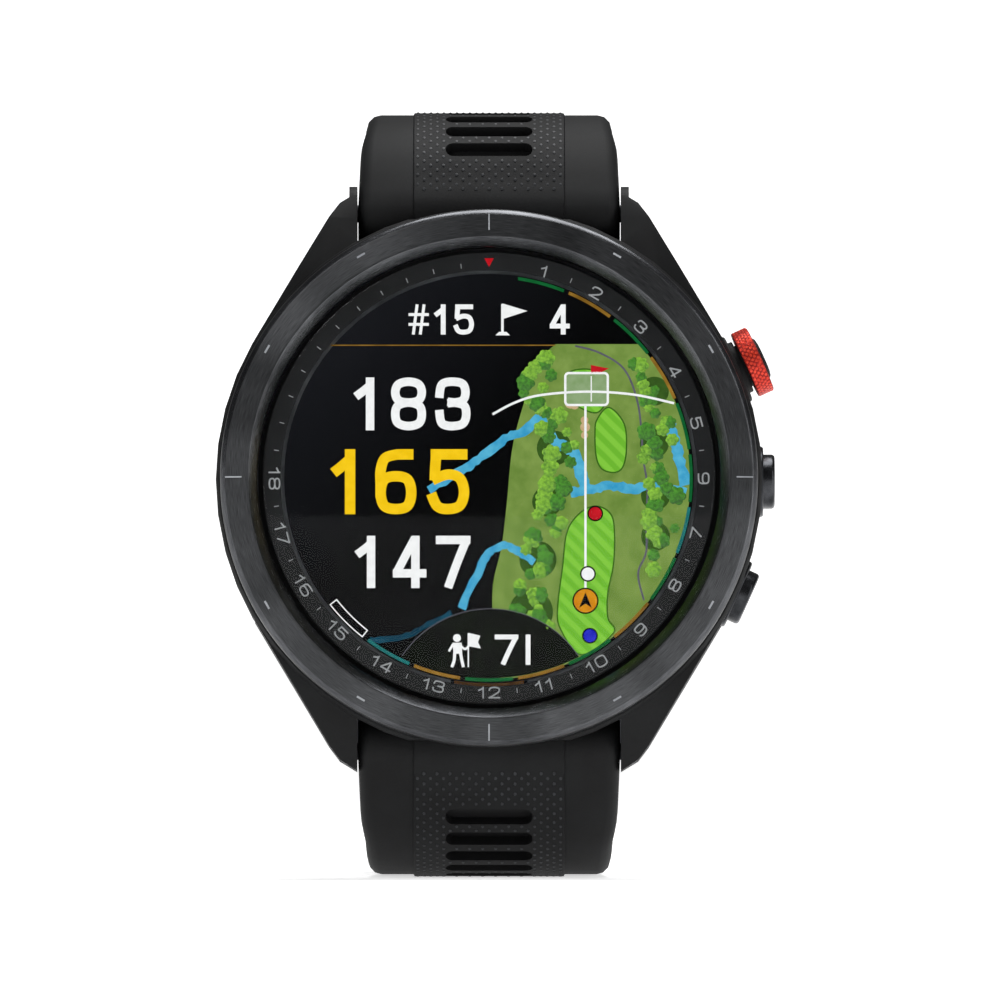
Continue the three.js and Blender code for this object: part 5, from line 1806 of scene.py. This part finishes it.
def build_stage():
    """A round paper sweep, white from every side, with three soft lamps and the camera."""
    shell = Shell()
    profile = [(0, 0), (SWEEP_RADIUS * 0.4, 0), (SWEEP_RADIUS, 0)]
    profile += [
        (
            SWEEP_RADIUS + SWEEP_CURVE * math.sin(math.radians(a)),
            SWEEP_CURVE * (1 - math.cos(math.radians(a))),
        )
        for a in range(10, 91, 10)
    ]
    shell.lathe(profile, 96)
    floor = shell.build("sweep", ROW @ Matrix.Translation((0, 0, FLOOR_Z)), [sweep_material()])
    world = bpy.data.worlds.new("studio")
    world.use_nodes = True
    background = world.node_tree.nodes["Background"]
    background.inputs["Color"].default_value = SKY_COLOUR
    background.inputs["Strength"].default_value = SKY_STRENGTH
    bpy.context.scene.world = world
    for name, place, width, height, watts in LAMPS:
        soft_light(name, place, LAMP_AIM, width, height, watts)
    bpy.context.scene.view_settings.view_transform = "Standard"
    camera = bpy.data.cameras.new("camera")
    camera.sensor_width = CAMERA_SENSOR
    camera.lens = CAMERA_LENS
    distance = VIEW_WIDTH / CAMERA_SENSOR * CAMERA_LENS
    holder = bpy.data.objects.new("camera", camera)
    bpy.context.scene.collection.objects.link(holder)
    holder.location = (VIEW_X, FACE.translation.y - distance, VIEW_Z)
    holder.rotation_euler = (math.pi / 2, 0, 0)
    camera.clip_end = 10
    bpy.context.scene.camera = holder


# ------------------------------------------------------------------ add-on


class Step:
    """What every build step shares: it either finishes or stops the script."""

    bl_options = {"REGISTER", "UNDO"}

    def execute(self, context):
        self.build()
        return {"FINISHED"}


class WATCH_OT_case(Step, Operator):
    """Build the moulded case with its four lugs."""

    bl_idname = "watch.case"
    bl_label = "Case"
    build = staticmethod(build_housing)


class WATCH_OT_bezel(Step, Operator):
    """Build the brushed bezel and its hour ticks."""

    bl_idname = "watch.bezel"
    bl_label = "Bezel"
    build = staticmethod(build_bezel)


class WATCH_OT_lens(Step, Operator):
    """Build the crystal over the dial."""

    bl_idname = "watch.lens"
    bl_label = "Crystal"
    build = staticmethod(build_lens)


class WATCH_OT_ring(Step, Operator):
    """Build the printed ring with its hole numbers."""

    bl_idname = "watch.ring"
    bl_label = "Number ring"
    build = staticmethod(build_number_ring)


class WATCH_OT_screen(Step, Operator):
    """Build the lit screen with its distances and course map."""

    bl_idname = "watch.screen"
    bl_label = "Screen"
    build = staticmethod(build_screen)


class WATCH_OT_buttons(Step, Operator):
    """Build the three buttons, their guards and the red collar."""

    bl_idname = "watch.buttons"
    bl_label = "Buttons"
    build = staticmethod(build_buttons)


class WATCH_OT_back(Step, Operator):
    """Build the back plate, sensor glass, charging socket and screws."""

    bl_idname = "watch.back"
    bl_label = "Back"
    build = staticmethod(build_back)


class WATCH_OT_straps(Step, Operator):
    """Build both silicone straps with their slots, dots and holes."""

    bl_idname = "watch.straps"
    bl_label = "Straps"
    build = staticmethod(build_straps)


class WATCH_OT_keepers(Step, Operator):
    """Build the fixed and the free keeper loop."""

    bl_idname = "watch.keepers"
    bl_label = "Keepers"
    build = staticmethod(build_keepers)


class WATCH_OT_metalwork(Step, Operator):
    """Build the buckle, its tongue and the strap's clips."""

    bl_idname = "watch.metalwork"
    bl_label = "Buckle and clips"
    build = staticmethod(build_metalwork)


class WATCH_OT_frame_nodes(Step, Operator):
    """Give the frame's own pieces their finishes."""

    bl_idname = "watch.frame_nodes"
    bl_label = "Inner pieces"
    build = staticmethod(finish_frame_nodes)


class WATCH_OT_stage(Step, Operator):
    """Set the floor, the lights and the camera."""

    bl_idname = "watch.stage"
    bl_label = "Stage"
    build = staticmethod(build_stage)


STEPS = (
    WATCH_OT_frame_nodes, WATCH_OT_case, WATCH_OT_bezel, WATCH_OT_lens, WATCH_OT_ring, WATCH_OT_screen,
    WATCH_OT_buttons, WATCH_OT_back, WATCH_OT_straps, WATCH_OT_keepers, WATCH_OT_metalwork,
    WATCH_OT_stage,
)


class WATCH_PT_sidebar(Panel):
    bl_idname = "WATCH_PT_sidebar"
    bl_label = "Golf GPS watch"
    bl_space_type = "VIEW_3D"
    bl_region_type = "UI"
    bl_category = "Golf watch"

    def draw(self, context):
        for step in STEPS:
            self.layout.operator(step.bl_idname)
        for group in (context.scene.watch_sizes, context.scene.watch_colours):
            for name in group.bl_rna.properties.keys()[2:]:
                self.layout.prop(group, name)


CLASSES = (WatchSizes, WatchColours, *STEPS, WATCH_PT_sidebar)


def register():
    for each in CLASSES:
        bpy.utils.register_class(each)
    bpy.types.Scene.watch_sizes = PointerProperty(type=WatchSizes)
    bpy.types.Scene.watch_colours = PointerProperty(type=WatchColours)


def unregister():
    del bpy.types.Scene.watch_sizes
    del bpy.types.Scene.watch_colours
    for each in reversed(CLASSES):
        bpy.utils.unregister_class(each)


def main():
    register()
    for step in STEPS:
        family, action = step.bl_idname.split(".")
        if "FINISHED" not in getattr(getattr(bpy.ops, family), action)():
            raise RuntimeError(f"{step.bl_label} did not finish")


if __name__ == "__main__":
    main()
